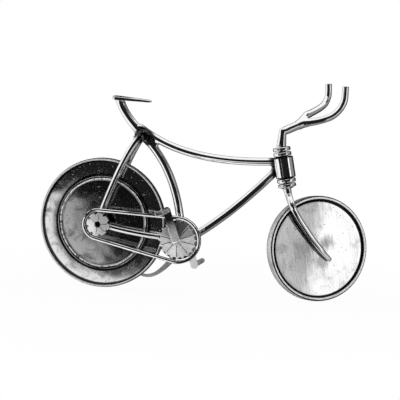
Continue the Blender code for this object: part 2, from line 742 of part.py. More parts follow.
def build_steering(parent):
    """Everything that turns with the bars, in the frame of the head tube."""
    steerer = cylinder(
        STEERER_RADIUS, race_foot - BLADE_NECK_DROP, locknut_top, SMALL_SEGMENTS, "Z"
    )
    make_piece("steerer", steerer, parent, SHADED_SILVER, 0.2)

    bore = STEERER_RADIUS + JOINT_GAP
    ring = HEADSET_RING_RADIUS
    under = cup_top + RUNNING_GAP
    locknut = collar(LOCKNUT_RADIUS, bore, under, locknut_top, axis="Z", edge=HEADSET_EDGE)
    make_piece("headset_locknut", locknut, parent)
    top = lower_cup_foot - RUNNING_GAP
    profile = [
        (bore, race_foot),
        (LOWER_RACE_FOOT_RADIUS, race_foot),
        (ring * 0.86, race_foot + LOWER_RACE_FLARE * 0.6),
        (ring, race_foot + LOWER_RACE_FLARE),
        (ring, top - HEADSET_EDGE),
        (ring - HEADSET_EDGE, top),
        (bore, top),
    ]
    make_piece("headset_lower_race", turned(profile, RING_SEGMENTS, "Z"), parent)

    path = blade_path()
    neck_end = 4
    tail_start = len(path) - 5
    along = []
    for i, _ in enumerate(path):
        if i <= neck_end:
            along.append(BLADE_NECK_RADIUS + (BLADE_RADIUS - BLADE_NECK_RADIUS) * i / neck_end)
        elif i <= tail_start:
            along.append(BLADE_RADIUS)
        else:
            part = (i - tail_start) / (len(path) - 1 - tail_start)
            along.append(BLADE_RADIUS + (BLADE_TIP_RADIUS - BLADE_RADIUS) * part)
    blade = make_piece("fork_blade", rod(path, along, ROD_SIDES, ROD_END_EDGE), parent)
    hole = cylinder(
        FRONT_AXLE_RADIUS + FRONT_AXLE_FIT,
        -blade_offset - 2 * BLADE_RADIUS,
        -blade_offset + 2 * BLADE_RADIUS,
    )
    place_shape(hole, (FORK_RAKE, 0.0, -axle_drop))
    cut(blade, make_cutter("axle_hole_in_blade", hole, parent))
    foot = race_foot - BLADE_NECK_DROP
    room = cylinder(3 * BLADE_NECK_RADIUS, foot - JOINT_GAP, foot + 2 * CUT_MARGIN, axis="Z")
    cut(blade, make_cutter("steerer_room", room, parent))

    blade_outer = blade_offset + BLADE_RADIUS
    stop = FRONT_WEB_HALF_THICKNESS + RUNNING_GAP
    profile = [
        (0.0, -blade_outer + FRONT_AXLE_END_RECESS),
        (FRONT_AXLE_RADIUS, -blade_outer + FRONT_AXLE_END_RECESS),
        (FRONT_AXLE_RADIUS, stop),
        (FRONT_AXLE_HEAD_RADIUS, stop),
        (FRONT_AXLE_HEAD_RADIUS, stop + FRONT_AXLE_HEAD_THICKNESS * 0.5),
        (FRONT_AXLE_HEAD_RADIUS * 0.7, stop + FRONT_AXLE_HEAD_THICKNESS),
        (0.0, stop + FRONT_AXLE_HEAD_THICKNESS),
    ]
    axle = place_shape(
        turned(profile, SMALL_SEGMENTS, bored=False), (FORK_RAKE, 0.0, -axle_drop)
    )
    make_piece("front_axle", axle, parent, SHADED_SILVER, 0.2)
    build_bars(parent)


def build_bars(parent):
    """Stem with its sharp mitred elbow, and the two upswept horns."""
    foot = side_point(0.0, locknut_top + JOINT_GAP)
    elbow = foot + Vector((QUILL_SET_FORWARD, 0.0, QUILL_HEIGHT))
    front = elbow + Vector((EXTENSION_REACH, 0.0, EXTENSION_RISE))
    waist = foot.lerp(elbow, 0.45)
    shoulder = elbow.lerp(front, 0.2)
    radii = [
        QUILL_FOOT_RADIUS,
        (QUILL_FOOT_RADIUS + QUILL_TOP_RADIUS) / 2,
        QUILL_TOP_RADIUS,
        EXTENSION_RADIUS,
        EXTENSION_RADIUS,
    ]
    below = foot - (elbow - foot) * 0.2
    stem = rod([below, waist, elbow, shoulder, front], radii, ROD_SIDES, ROD_END_EDGE)
    stem = make_piece("stem", stem, parent)
    room = cylinder(2 * QUILL_FOOT_RADIUS, foot.z - QUILL_HEIGHT, foot.z, RING_SEGMENTS, "Z")
    cut(stem, make_cutter("locknut_room", room, parent))

    # Along each horn: how far forward, how far to the side and how far up it has gone.
    right_shares = [(0.02, 0.17, -0.02), (0.24, 0.46, -0.02), (0.41, 0.7, 0.01), (0.57, 0.86, 0.07)]
    right_shares += [(0.73, 0.955, 0.21), (0.85, 0.99, 0.385), (0.925, 1.0, 0.57), (1.0, 1.0, 1.0)]
    left_shares = [(0.0, 0.08, 0.0), (0.15, 0.2, 0.02), (0.365, 0.43, 0.09), (0.575, 0.66, 0.18)]
    left_shares += [(0.74, 0.84, 0.29), (0.85, 0.95, 0.45), (0.915, 0.99, 0.64), (0.96, 1.0, 1.0)]

    def horn_path(start, shares, side, rise):
        corners = [
            start + Vector((HORN_REACH * ahead, side * HORN_SPREAD * aside, rise * up))
            for ahead, aside, up in shares
        ]
        return smooth_through(corners, 2)

    right = horn_path(front, right_shares, -1.0, RIGHT_HORN_RISE)
    radii = spread(HORN_RADIUS, HORN_TIP_RADIUS, len(right) - 1)
    horn = make_piece("handlebar_horn_right", rod(right, radii, ROD_SIDES, ROD_END_EDGE), parent)

    # The left horn is set on top of the end of the stem.
    above = front + side_point(0.0, EXTENSION_RADIUS + LEFT_HORN_SET_ON)
    left = horn_path(above, left_shares, 1.0, LEFT_HORN_RISE)
    other = make_piece("handlebar_horn_left", rod(left, radii, ROD_SIDES, ROD_END_EDGE), parent)

    grown_stem = rod(
        [foot, waist, elbow, shoulder, front + (front - elbow).normalized() * JOINT_GAP],
        [EXTENSION_RADIUS + JOINT_GAP] * 5,
        ROD_SIDES,
    )
    stem_room = make_cutter("stem_room", grown_stem, parent)
    cut(horn, stem_room)
    cut(other, stem_room)
    room = rod(right, [HORN_RADIUS + JOINT_GAP] * len(right), ROD_SIDES)
    cut(other, make_cutter("right_horn_room", room, parent))


def build_head(parent):
    """Head tube with the two cups that stay with the frame."""
    bore = STEERER_RADIUS + RUNNING_GAP
    edge = HEAD_EDGE
    profile = [
        (bore, -head_half),
        (HEAD_TUBE_RADIUS - edge, -head_half),
        (HEAD_TUBE_RADIUS - edge * 0.3, -head_half + edge * 0.3),
        (HEAD_TUBE_RADIUS, -head_half + edge),
        (HEAD_TUBE_RADIUS, head_half - edge),
        (HEAD_TUBE_RADIUS - edge * 0.3, head_half - edge * 0.3),
        (HEAD_TUBE_RADIUS - edge, head_half),
        (bore, head_half),
    ]
    make_piece("head_tube", turned(profile, RING_SEGMENTS + 4, "Z"), parent)
    seat = head_half + JOINT_GAP
    upper = collar(HEADSET_RING_RADIUS, bore, seat, cup_top, axis="Z", edge=HEADSET_EDGE)
    make_piece("headset_upper_cup", upper, parent)
    lower = collar(LOWER_CUP_RADIUS, bore, lower_cup_foot, -seat, axis="Z", edge=HEADSET_EDGE)
    make_piece("headset_lower_cup", lower, parent)


def build_frame_tubes(parent, head):
    """Tubes, stays and lugs, coped to the shells that they meet."""
    head_room = make_cutter(
        "head_room",
        cylinder(HEAD_TUBE_RADIUS + JOINT_GAP, -head_half, head_half, RING_SEGMENTS, "Z"),
        head,
    )
    bracket_room = cylinder(
        BOTTOM_BRACKET_RADIUS + JOINT_GAP,
        -BOTTOM_BRACKET_HALF_WIDTH - CUT_MARGIN,
        BOTTOM_BRACKET_HALF_WIDTH + CUT_MARGIN,
        RING_SEGMENTS,
    )
    bracket_room = make_cutter("bracket_room", place_shape(bracket_room, crank_axle), parent)
    outline = seat_lug_outline()
    lug_room = make_cutter(
        "lug_room",
        plate(grown(outline, JOINT_GAP), -3 * LUG_THICKNESS, 3 * LUG_THICKNESS),
        parent,
    )

    lug = make_piece(
        "seat_lug",
        plate(outline, -LUG_THICKNESS / 2, LUG_THICKNESS / 2),
        parent,
        TARNISHED_SILVER,
        0.45,
    )
    soften_edges(lug, LUG_EDGE, 60.0)

    # Seat post, from under the saddle down to the lug.
    make_piece("saddle", saddle_shape(0.0), parent)
    saddle_room = make_cutter("saddle_room", saddle_shape(JOINT_GAP), parent)
    under_saddle = SADDLE_HEIGHT - SADDLE_THICKNESS
    seat = side_point(SADDLE_REAR + SEAT_POST_FORWARD, under_saddle + SEAT_POST_IN_SADDLE)
    path = tube_curve(seat, SEAT_POST_LEAVES_SADDLE, SEAT_POST_MEETS_LUG, lug_centre, 10)
    radii = [SEAT_POST_RADIUS] * len(path)
    radii[0] = SEAT_POST_TOP_RADIUS
    radii[1] = (SEAT_POST_TOP_RADIUS + SEAT_POST_RADIUS) / 2
    post = make_piece("seat_post", rod(path, radii), parent)
    cut(post, lug_room)
    cut(post, saddle_room)

    # Seat tube, which carries on along the same line to the crank axle.
    path = tube_curve(lug_centre, SEAT_TUBE_LEAVES_LUG, SEAT_TUBE_MEETS_SHELL, crank_axle, 15)
    seat_tube = make_piece("seat_tube", even_rod(path[1:], SEAT_TUBE_RADIUS), parent)
    cut(seat_tube, lug_room)
    cut(seat_tube, bracket_room)
    room = even_rod(path, SEAT_TUBE_RADIUS + JOINT_GAP)
    seat_tube_room = make_cutter("seat_tube_room", room, parent)

    # Top tube, sagging from the lug to the head tube.
    head_end = head_centre + steer_up * TOP_TUBE_UP_HEAD
    start = aside(lug_centre, TOP_TUBE_FROM_LUG)
    path = tube_curve(start, TOP_TUBE_LEAVES_LUG, TOP_TUBE_MEETS_HEAD, head_end, 18)
    top_tube = make_piece("top_tube", even_rod(path[1:], TOP_TUBE_RADIUS), parent)
    cut(top_tube, lug_room)
    cut(top_tube, head_room)
    room = even_rod(path, TOP_TUBE_RADIUS + JOINT_GAP)
    top_tube_room = make_cutter("top_tube_room", room, parent)

    # Down tube, from the crank axle up to the lower half of the head tube.
    start = aside(crank_axle, DOWN_TUBE_FROM_SHELL)
    end = head_centre + side_point(-DOWN_TUBE_IN_HEAD, -DOWN_TUBE_DOWN_HEAD)
    path = tube_curve(start, DOWN_TUBE_LEAVES_SHELL, DOWN_TUBE_MEETS_HEAD, end, 12)
    down_tube = make_piece("down_tube", even_rod(path, DOWN_TUBE_RADIUS), parent)
    cut(down_tube, bracket_room)
    cut(down_tube, head_room)
    cut(down_tube, seat_tube_room)
    room = even_rod(path, DOWN_TUBE_RADIUS + JOINT_GAP)
    down_tube_room = make_cutter("down_tube_room", room, parent)

    # Gusset in the corner between the top tube, the down tube and the head tube.
    corner = head_centre + side_point(-HEAD_TUBE_RADIUS, 0.0)
    reach = HEAD_GUSSET_REACH
    outline = [
        (corner.x - 0.5 * reach, corner.z - 0.75 * reach),
        (corner.x + 0.5 * reach, corner.z - 0.5 * reach),
        (corner.x + 0.5 * reach, corner.z + 0.4 * reach),
        (corner.x - reach, corner.z + 0.4 * reach),
        (corner.x - 0.82 * reach, corner.z + 0.05 * reach),
        (corner.x - 0.55 * reach, corner.z - 0.02 * reach),
        (corner.x - 0.42 * reach, corner.z - 0.2 * reach),
        (corner.x - 0.48 * reach, corner.z - 0.45 * reach),
    ]
    half = HEAD_GUSSET_THICKNESS / 2
    gusset = make_piece("head_gusset", plate(outline, -half, half), parent, SHADED_SILVER, 0.25)
    cut(gusset, top_tube_room)
    cut(gusset, down_tube_room)
    cut(gusset, head_room)

    build_stays(parent, lug_room, bracket_room)

    shell = collar(
        BOTTOM_BRACKET_RADIUS,
        SPINDLE_RADIUS + RUNNING_GAP,
        -BOTTOM_BRACKET_HALF_WIDTH,
        BOTTOM_BRACKET_HALF_WIDTH,
        edge=SHELL_EDGE,
    )
    make_piece("bottom_bracket_shell", place_shape(shell, crank_axle), parent)


def build_stays(parent, lug_room, bracket_room):
    """Seat stays and chain stays with the eyes that hold the rear axle."""
    for side_name, side in (("right", -1.0), ("left", 1.0)):
        eye = collar(
            DROPOUT_RADIUS,
            REAR_AXLE_RADIUS + RUNNING_GAP,
            stay_offset - DROPOUT_THICKNESS / 2,
            stay_offset + DROPOUT_THICKNESS / 2,
            edge=DROPOUT_EDGE,
        )
        if side < 0.0:
            place_shape(eye, (0.0, -2 * stay_offset, 0.0))
        make_piece("rear_dropout_" + side_name, place_shape(eye, rear_axle), parent)
        room = cylinder(
            DROPOUT_RADIUS + JOINT_GAP, -2 * stay_offset, 2 * stay_offset, RING_SEGMENTS
        )
        eye_room = make_cutter("dropout_room_" + side_name, place_shape(room, rear_axle), parent)

        foot = rear_axle + Vector((0.0, side * stay_offset, 0.0))
        crown = Vector((LUG_FORWARD, side * SEAT_STAY_TOP_SPREAD, LUG_HEIGHT))
        crown = aside(crown, SEAT_STAY_IN_LUG)
        shoulder = aside(crown, SEAT_STAY_MEETS_LUG)
        shoulder.y = foot.y
        path = bezier(
            aside(foot, SEAT_STAY_FROM_AXLE), aside(foot, SEAT_STAY_LEAVES_AXLE), shoulder, crown, 11
        )
        stay = make_piece("seat_stay_" + side_name, even_rod(path, SEAT_STAY_RADIUS), parent)
        cut(stay, eye_room)
        cut(stay, lug_room)

        front = crank_axle + Vector((0.0, side * CHAIN_STAY_FRONT_SPREAD, 0.0))
        shoulder = aside(front, CHAIN_STAY_MEETS_SHELL)
        shoulder.y = foot.y
        path = bezier(foot, aside(foot, CHAIN_STAY_LEAVES_AXLE), shoulder, front, 8)
        stay = make_piece("chain_stay_" + side_name, even_rod(path, CHAIN_STAY_RADIUS), parent)
        cut(stay, eye_room)
        cut(stay, bracket_room)


def saddle_shape(grow):
    """Crowned plate, broad at the back and narrow at the nose, grown by a margin all round."""
    shape = bmesh.new()
    stations = 12
    around = 14
    rings = []
    for i in range(stations + 1):
        part = i / stations
        along = SADDLE_REAR - grow + (SADDLE_LENGTH + 2 * grow) * part
        taper = 0.5 + 0.5 * cos(pi * min(part / 0.72, 1.0))
        half = (SADDLE_NOSE_WIDTH + (SADDLE_REAR_WIDTH - SADDLE_NOSE_WIDTH) * taper) / 2
        thick = SADDLE_THICKNESS + (SADDLE_NOSE_THICKNESS - SADDLE_THICKNESS) * part
        end = min(part / 0.14, (1.0 - part) / 0.08, 1.0)
        rounding = sqrt(1.0 - (1.0 - end) ** 2)
        half = half * (0.5 + 0.5 * rounding) + grow
        thick = thick * (0.45 + 0.55 * rounding) + 2 * grow
        middle = SADDLE_HEIGHT - SADDLE_THICKNESS / 2 - SADDLE_NOSE_DROP * part
        ring = []
        for k in range(around):
            angle = 2 * pi * (k + 0.5) / around
            y = half * cos(angle)
            crown = SADDLE_CROWN * cos(angle) ** 2
            ring.append(shape.verts.new((along, y, middle + thick / 2 * sin(angle) - crown)))
        rings.append(ring)
    for one, other in zip(rings, rings[1:]):
        bridge(shape, one, other)
    shape.faces.new(rings[0])
    shape.faces.new(list(reversed(rings[-1])))
    return shape


def chain_loop():
    """Middle line of the chain: two arcs joined by two straight runs."""
    half = CHAIN_THICKNESS / 2
    rear_radius = SPROCKET_RADIUS + RUNNING_GAP + half
    front_radius = CHAINRING_RADIUS + RUNNING_GAP + half
    across = crank_axle.x - rear_axle.x
    rise = crank_axle.z - rear_axle.z
    line = atan2(rise, across)
    open_angle = acos((rear_radius - front_radius) / hypot(across, rise))
    upper = line + open_angle
    lower = line - open_angle
    loop = []
    for centre, radius, begin, end, count in (
        (rear_axle, rear_radius, upper, lower + 2 * pi, 16),
        (crank_axle, front_radius, lower, upper, 20),
    ):
        for i in range(count + 1):
            angle = begin + (end - begin) * i / count
            ray = Vector((cos(angle), 0.0, sin(angle)))
            loop.append((centre + ray * radius, ray))
    return loop


def build_chain(parent):
    """One smooth closed band round both toothed wheels, with rounded edges."""
    shape = bmesh.new()
    half_thick = CHAIN_THICKNESS / 2
    half_wide = CHAIN_WIDTH / 2
    section = [
        (1.0, 0.45),
        (0.75, 0.88),
        (-0.75, 1.0),
        (-1.0, 0.7),
        (-1.0, -0.7),
        (-0.75, -1.0),
        (0.75, -0.88),
        (1.0, -0.45),
    ]
    rings = []
    for point, ray in chain_loop():
        ring = []
        for out, across in section:
            place = point + ray * out * half_thick
            place.y = -chain_offset + across * half_wide
            ring.append(shape.verts.new(place))
        rings.append(ring)
    for one, other in zip(rings, rings[1:] + rings[:1]):
        bridge(shape, one, other)
    make_piece("chain_band", shape, parent)


def build_chainring(parent):
    """Domed toothed chainring with pointed teeth."""
    pitch = 2 * pi / CHAINRING_TEETH
    tip = CHAINRING_RADIUS
    root = tip - CHAINRING_TOOTH_DEPTH
    angles = []
    edge = []
    for tooth in range(CHAINRING_TEETH):
        middle = tooth * pitch
        for part, radius in ((-0.4, root), (0.0, tip), (0.3, root)):
            angles.append(middle + part * pitch)
            edge.append(radius)
    face = -(chain_offset + CHAINRING_THICKNESS / 2)
    back = face + CHAINRING_THICKNESS
    bore = SPINDLE_RADIUS + JOINT_GAP
    boss_back = -(BOTTOM_BRACKET_HALF_WIDTH + RUNNING_GAP)
    foot = root - CHAINRING_TOOTH_FOOT
    rings = [
        (bore, face - CHAINRING_DOME),
        (root * 0.62, face - CHAINRING_DOME * 0.55),
        (foot, face),
        ("edge", face + CHAINRING_EDGE),
        ("edge", back - CHAINRING_EDGE),
        (foot, back),
        (CHAINRING_BOSS_RADIUS, back),
        (CHAINRING_BOSS_RADIUS, boss_back),
        (bore, boss_back),
    ]
    make_piece("chainring", toothed(rings, angles, edge), parent)


def build_crank(name, parent, inner, side, direction):
    """Flat crank arm with round ends, blind holes for the spindle and the pedal pin."""
    outline = arc((0.0, 0.0), CRANK_WIDTH / 2, pi, 2 * pi, 7)
    outline += arc((0.0, CRANK_LENGTH), CRANK_TIP_WIDTH / 2, 0.0, pi, 7)
    outline = [(x, z * direction) for x, z in outline]
    low = min(side * inner, side * (inner + CRANK_THICKNESS))
    arm = make_piece(name, plate(outline, low, low + CRANK_THICKNESS), parent)
    soften_edges(arm, CRANK_EDGE)
    reach = inner + CRANK_HOLE_DEPTH
    ends = sorted((side * (inner - CUT_MARGIN), side * reach))
    hole = cylinder(SPINDLE_RADIUS + JOINT_GAP, ends[0], ends[1])
    cut(arm, make_cutter("spindle_hole_" + name, hole, parent))
    reach = inner + CRANK_THICKNESS - CRANK_HOLE_DEPTH
    ends = sorted((side * (inner + CRANK_THICKNESS + CUT_MARGIN), side * reach))
    hole = cylinder(PEDAL_PIN_RADIUS + JOINT_GAP, ends[0], ends[1], PIN_SEGMENTS)
    place_shape(hole, (0.0, 0.0, CRANK_LENGTH * direction))
    cut(arm, make_cutter("pin_hole_" + name, hole, parent))


def build_pin(name, parent, inner, side, direction):
    """Pedal pin, let into the crank's outer face."""
    start = inner + CRANK_THICKNESS - CRANK_HOLE_DEPTH + JOINT_GAP
    end = inner + CRANK_THICKNESS + RUNNING_GAP + PEDAL_PIN_REACH
    ends = sorted((side * start, side * end))
    pin = cylinder(PEDAL_PIN_RADIUS, ends[0], ends[1], PIN_SEGMENTS)
    place_shape(pin, (0.0, 0.0, CRANK_LENGTH * direction))
    make_piece(name, pin, parent, SHADED_SILVER, 0.2)


def oval(half_width, half_height, y, count=16):
    """Rounded-end oval section in the XZ plane at one sideways position."""
    points = []
    flat = half_width - half_height
    for k in range(count):
        angle = 2 * pi * (k + 0.5) / count
        x = half_height * cos(angle) + (flat if cos(angle) > 0 else -flat)
        points.append(Vector((x, y, half_height * sin(angle))))
    return points


def build_pedal(name, parent, inner, side):
    """Flattened tube, open at its outer end, with a bored wall next to the crank."""
    start = side * (inner + CRANK_THICKNESS + RUNNING_GAP)
    end = start + side * PEDAL_LENGTH
    half_width = PEDAL_WIDTH / 2
    half_height = PEDAL_HEIGHT / 2
    floor = start + side * PEDAL_END_WALL
    shape = bmesh.new()
    sections = [
        oval(half_width, half_height, start),
        oval(half_width, half_height, end),
        oval(half_width - PEDAL_WALL, half_height - PEDAL_WALL, end),
        oval(half_width - PEDAL_WALL, half_height - PEDAL_WALL, floor),
    ]
    rings = [[shape.verts.new(point) for point in section] for section in sections]
    for one, other in zip(rings, rings[1:]):
        bridge(shape, one, other)
    shape.faces.new(rings[0])
    shape.faces.new(list(reversed(rings[-1])))
    pedal = make_piece(name, shape, parent)
    ends = sorted((start - side * CUT_MARGIN, floor + side * CUT_MARGIN))
    hole = cylinder(PEDAL_PIN_RADIUS + JOINT_GAP, ends[0], ends[1], PIN_SEGMENTS)
    cut(pedal, make_cutter("pin_hole_" + name, hole, parent))


def build_cranks(parent):
    """Spindle, chainring, both crank arms and their pedal pins."""
    right_end = crank_inner + CRANK_HOLE_DEPTH - JOINT_GAP
    left_end = left_crank_inner + CRANK_HOLE_DEPTH - JOINT_GAP
    spindle = cylinder(SPINDLE_RADIUS, -right_end, left_end, SMALL_SEGMENTS)
    make_piece("crank_spindle", spindle, parent, SHADED_SILVER, 0.2)
    build_chainring(parent)
    build_crank("crank_right", parent, crank_inner, -1.0, 1.0)
    build_crank("crank_left", parent, left_crank_inner, 1.0, -1.0)
    build_pin("pedal_pin_right", parent, crank_inner, -1.0, 1.0)
    build_pin("pedal_pin_left", parent, left_crank_inner, 1.0, -1.0)


def build_stand_bracket(parent, pivot):
    """Lug under the bottom bracket with the pin that the side stand turns on."""
    outer = stand_inner - RUNNING_GAP
    inner = outer - STAND_BRACKET_THICKNESS
    half = STAND_EYE_RADIUS
    outline = arc((pivot.x, pivot.z), half, pi, 2 * pi, 8)
    outline += [(pivot.x + half * 1.3, crank_axle.z), (pivot.x - half * 1.3, crank_axle.z)]
    bracket = make_piece("stand_bracket", plate(outline, inner, outer), parent)
    shell = cylinder(
        BOTTOM_BRACKET_RADIUS + JOINT_GAP,
        -BOTTOM_BRACKET_HALF_WIDTH - CUT_MARGIN,
        BOTTOM_BRACKET_HALF_WIDTH + CUT_MARGIN,
        RING_SEGMENTS,
    )
    cut(bracket, make_cutter("shell_room", place_shape(shell, crank_axle), parent))
    ends = (inner - CUT_MARGIN, outer + CUT_MARGIN)
    hole = cylinder(STAND_PIN_RADIUS + JOINT_GAP, ends[0], ends[1], PIN_SEGMENTS)
    cut(bracket, make_cutter("stand_pin_hole", place_shape(hole, pivot), parent))

    end = stand_outer + RUNNING_GAP
    profile = [
        (0.0, inner),
        (STAND_PIN_RADIUS, inner),
        (STAND_PIN_RADIUS, end),
        (STAND_PIN_HEAD_RADIUS, end),
        (STAND_PIN_HEAD_RADIUS, end + STAND_PIN_HEAD_THICKNESS),
        (0.0, end + STAND_PIN_HEAD_THICKNESS),
    ]
    pin = place_shape(turned(profile, SMALL_SEGMENTS, bored=False), pivot)
    make_piece("stand_pin", pin, parent, SHADED_SILVER, 0.2)


def build_stand(parent):
    """Flat curved side stand, tapering to its tip, folded back beside the wheel."""
    start = Vector((0.0, 0.0, 0.0))
    tip = side_point(-STAND_LENGTH_BACK, -STAND_TIP_DROP)
    path = bezier(
        start,
        side_point(-0.33 * STAND_LENGTH_BACK, -0.84 * STAND_TIP_DROP),
        side_point(-0.62 * STAND_LENGTH_BACK, -STAND_TIP_DROP - STAND_SAG),
        tip,
        12,
    )
    upper = []
    lower = []
    for i, point in enumerate(path):
        behind = path[max(i - 1, 0)]
        ahead = path[min(i + 1, len(path) - 1)]
        run = (ahead - behind).normalized()
        part = i / (len(path) - 1)
        width = 2 * STAND_EYE_RADIUS * 0.8 * (1.0 - part) ** 0.9 + STAND_TIP_WIDTH
        normal = Vector((-run.z, 0.0, run.x))
        upper.append(point + normal * width / 2)
        lower.append(point - normal * width / 2)
    # The eye's round edge joins the two long edges.
    first = upper[2]
    last = lower[2]
    begin = atan2(last.z, last.x)
    end = atan2(first.z, first.x)
    if end < begin:
        end += 2 * pi
    eye = arc((0.0, 0.0), STAND_EYE_RADIUS, begin, end, 10)
    outline = eye + [(p.x, p.z) for p in upper[3:]] + [(p.x, p.z) for p in reversed(lower[3:])]
    stand = make_piece(
        "side_stand", plate(outline, stand_inner, stand_outer), parent, SHADED_SILVER, 0.35
    )
    ends = (stand_inner - CUT_MARGIN, stand_outer + CUT_MARGIN)
    hole = cylinder(STAND_PIN_RADIUS + RUNNING_GAP, ends[0], ends[1])
    cut(stand, make_cutter("stand_eye_hole", hole, parent))


def set_on_ground(root):
    """Move the whole bicycle so that its box stands centred on the origin."""
    bpy.context.view_layer.update()
    graph = bpy.context.evaluated_depsgraph_get()
    low = Vector((1.0, 1.0, 1.0))
    high = -low
    for item in bpy.data.objects:
        if item.type != "MESH" or item.hide_render:
            continue
        solid = item.evaluated_get(graph)
        mesh = solid.to_mesh()
        for vertex in mesh.vertices:
            place = item.matrix_world @ vertex.co
            low = Vector(map(min, low, place))
            high = Vector(map(max, high, place))
        solid.to_mesh_clear()
    middle = (low + high) / 2
    root.location = Vector((-middle.x, -middle.y, -low.z))


def build():
    """Build every piece under the empty of the body that carries it."""
    clear_scene()
    root = place_empty("bicycle", None, Vector((0.0, 0.0, 0.0)))
    head_turn = Matrix.Rotation(-HEAD_LEAN, 3, "Y")
    head = place_empty("head_axis", root, head_centre, head_turn)
    steering = place_empty("steering_axis", root, head_centre, steer_turn)
    front = place_empty(
        "front_wheel_axis", steering, Vector((FORK_RAKE, 0.0, -axle_drop))
    )
    rear = place_empty("rear_wheel_axis", root, rear_axle)
    lean = Matrix.Rotation(-CRANK_BACK_LEAN, 3, "Y")
    cranks = place_empty("crank_axis", root, crank_axle, lean)
    tilt = Matrix.Rotation(CRANK_BACK_LEAN - RIGHT_PEDAL_TILT, 3, "Y")
    right_pedal = place_empty(
        "right_pedal_axis", cranks, Vector((0.0, 0.0, CRANK_LENGTH)), tilt
    )
    tilt = Matrix.Rotation(CRANK_BACK_LEAN - LEFT_PEDAL_TILT, 3, "Y")
    left_pedal = place_empty(
        "left_pedal_axis", cranks, Vector((0.0, 0.0, -CRANK_LENGTH)), tilt
    )
    pivot = crank_axle + side_point(-STAND_PIVOT_BACK, -STAND_PIVOT_DROP)
    stand = place_empty("stand_axis", root, pivot)

    build_head(head)
    build_frame_tubes(root, head)
    build_chain(root)
    build_stand_bracket(root, pivot)
    build_steering(steering)
    build_front_wheel(front)
    build_rear_wheel(rear)
    build_cranks(cranks)
    build_pedal("pedal_right", right_pedal, crank_inner, -1.0)
    build_pedal("pedal_left", left_pedal, left_crank_inner, 1.0)
    build_stand(stand)
    set_on_ground(root)


build()
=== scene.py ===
"""Small polished silver bicycle: the surfaces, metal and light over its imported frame."""

import json
from math import acos, atan2, cos, hypot, pi, radians, sin, sqrt

import bmesh
import bpy
import numpy as np
from mathutils import Matrix, Vector
from mathutils import noise as noise_field

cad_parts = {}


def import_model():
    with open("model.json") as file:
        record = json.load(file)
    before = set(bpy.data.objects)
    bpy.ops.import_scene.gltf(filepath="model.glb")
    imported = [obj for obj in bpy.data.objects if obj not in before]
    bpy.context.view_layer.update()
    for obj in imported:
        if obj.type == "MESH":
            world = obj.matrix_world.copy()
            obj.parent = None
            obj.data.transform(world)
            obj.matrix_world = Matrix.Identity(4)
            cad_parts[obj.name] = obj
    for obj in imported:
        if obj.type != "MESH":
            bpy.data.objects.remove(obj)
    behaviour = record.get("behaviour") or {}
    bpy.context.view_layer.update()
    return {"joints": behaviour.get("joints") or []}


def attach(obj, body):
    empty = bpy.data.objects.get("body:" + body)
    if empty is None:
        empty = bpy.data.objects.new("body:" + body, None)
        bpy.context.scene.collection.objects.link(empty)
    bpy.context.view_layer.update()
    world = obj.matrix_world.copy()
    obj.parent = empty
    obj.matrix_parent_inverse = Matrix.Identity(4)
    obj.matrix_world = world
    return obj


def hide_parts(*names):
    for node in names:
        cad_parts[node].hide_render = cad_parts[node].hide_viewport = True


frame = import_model()
joints = {joint["name"]: Vector(joint["pos_m"]) for joint in frame["joints"]}

MM = 0.001

# Places of the joints, which everything else is measured from
rear_axle = joints["rear_wheel_spin"]
crank_axle = joints["crank_spin"]
head_centre = joints["steering_turn"]
front_axle = joints["front_wheel_spin"]
right_pedal_axle = joints["pedal_right_spin"]
left_pedal_axle = joints["pedal_left_spin"]
stand_axle = joints["side_stand_fold"]
ground = Vector((rear_axle.x, rear_axle.y, 0.0))

# Sizes shared with the solids
HEAD_LEAN = radians(11.1)
STEER_AT_REST = radians(33.0)
JOINT_GAP = 0.2 * MM
RUNNING_GAP = 0.3 * MM
REAR_RADIUS = 22.05 * MM
REAR_WEB = 1.1 * MM
REAR_RIM_HALF_WIDTH = 1.3 * MM
REAR_RIM_DEPTH = 0.9 * MM
REAR_BEAD_RADIUS = 15.2 * MM
REAR_HUB_HALF_WIDTH = 2.1 * MM
FRONT_RADIUS = 17.4 * MM
FRONT_WEB = 1.35 * MM
FRONT_RIM_HALF_WIDTH = 2.0 * MM
FRONT_RIM_DEPTH = 1.2 * MM
HEAD_RADIUS = 3.25 * MM
HEAD_HALF = 3.5 * MM
RING_RADIUS = 2.95 * MM
RING_HEIGHT = 1.35 * MM
RACE_HEIGHT = 1.6 * MM
STEERER_RADIUS = 1.15 * MM
STEERER_PAST_RACE = 0.45 * MM
DROPOUT_INNER = 2.45 * MM
DROPOUT_THICKNESS = 1.7 * MM
DROPOUT_RADIUS = 2.3 * MM
SHELL_RADIUS = 2.6 * MM
SHELL_HALF_WIDTH = 4.2 * MM
SPINDLE_RADIUS = 1.0 * MM
SPINDLE_RIGHT_END = -7.55 * MM
SPINDLE_LEFT_END = 5.5 * MM
SPROCKET_RADIUS = 4.0 * MM
CHAINRING_RADIUS = 6.55 * MM
CHAIN_THICKNESS = 1.1 * MM
CHAIN_WIDTH = 1.8 * MM
CHAIN_OFFSET = 5.65 * MM
CRANK_LENGTH = 10.4 * MM
CRANK_THICKNESS = 1.4 * MM
CRANK_INNER_RIGHT = 6.85 * MM
CRANK_INNER_LEFT = 4.8 * MM
CRANK_BACK_LEAN = radians(20.0)
PEDAL_LENGTH = 8.8 * MM
FORK_RAKE = 7.2 * MM
FORK_RADIUS = 1.1 * MM
AXLE_DROP = 28.25 * MM
HORN_RADIUS = 1.18 * MM
LUG_FORWARD = 12.9 * MM
LUG_HEIGHT = 52.5 * MM

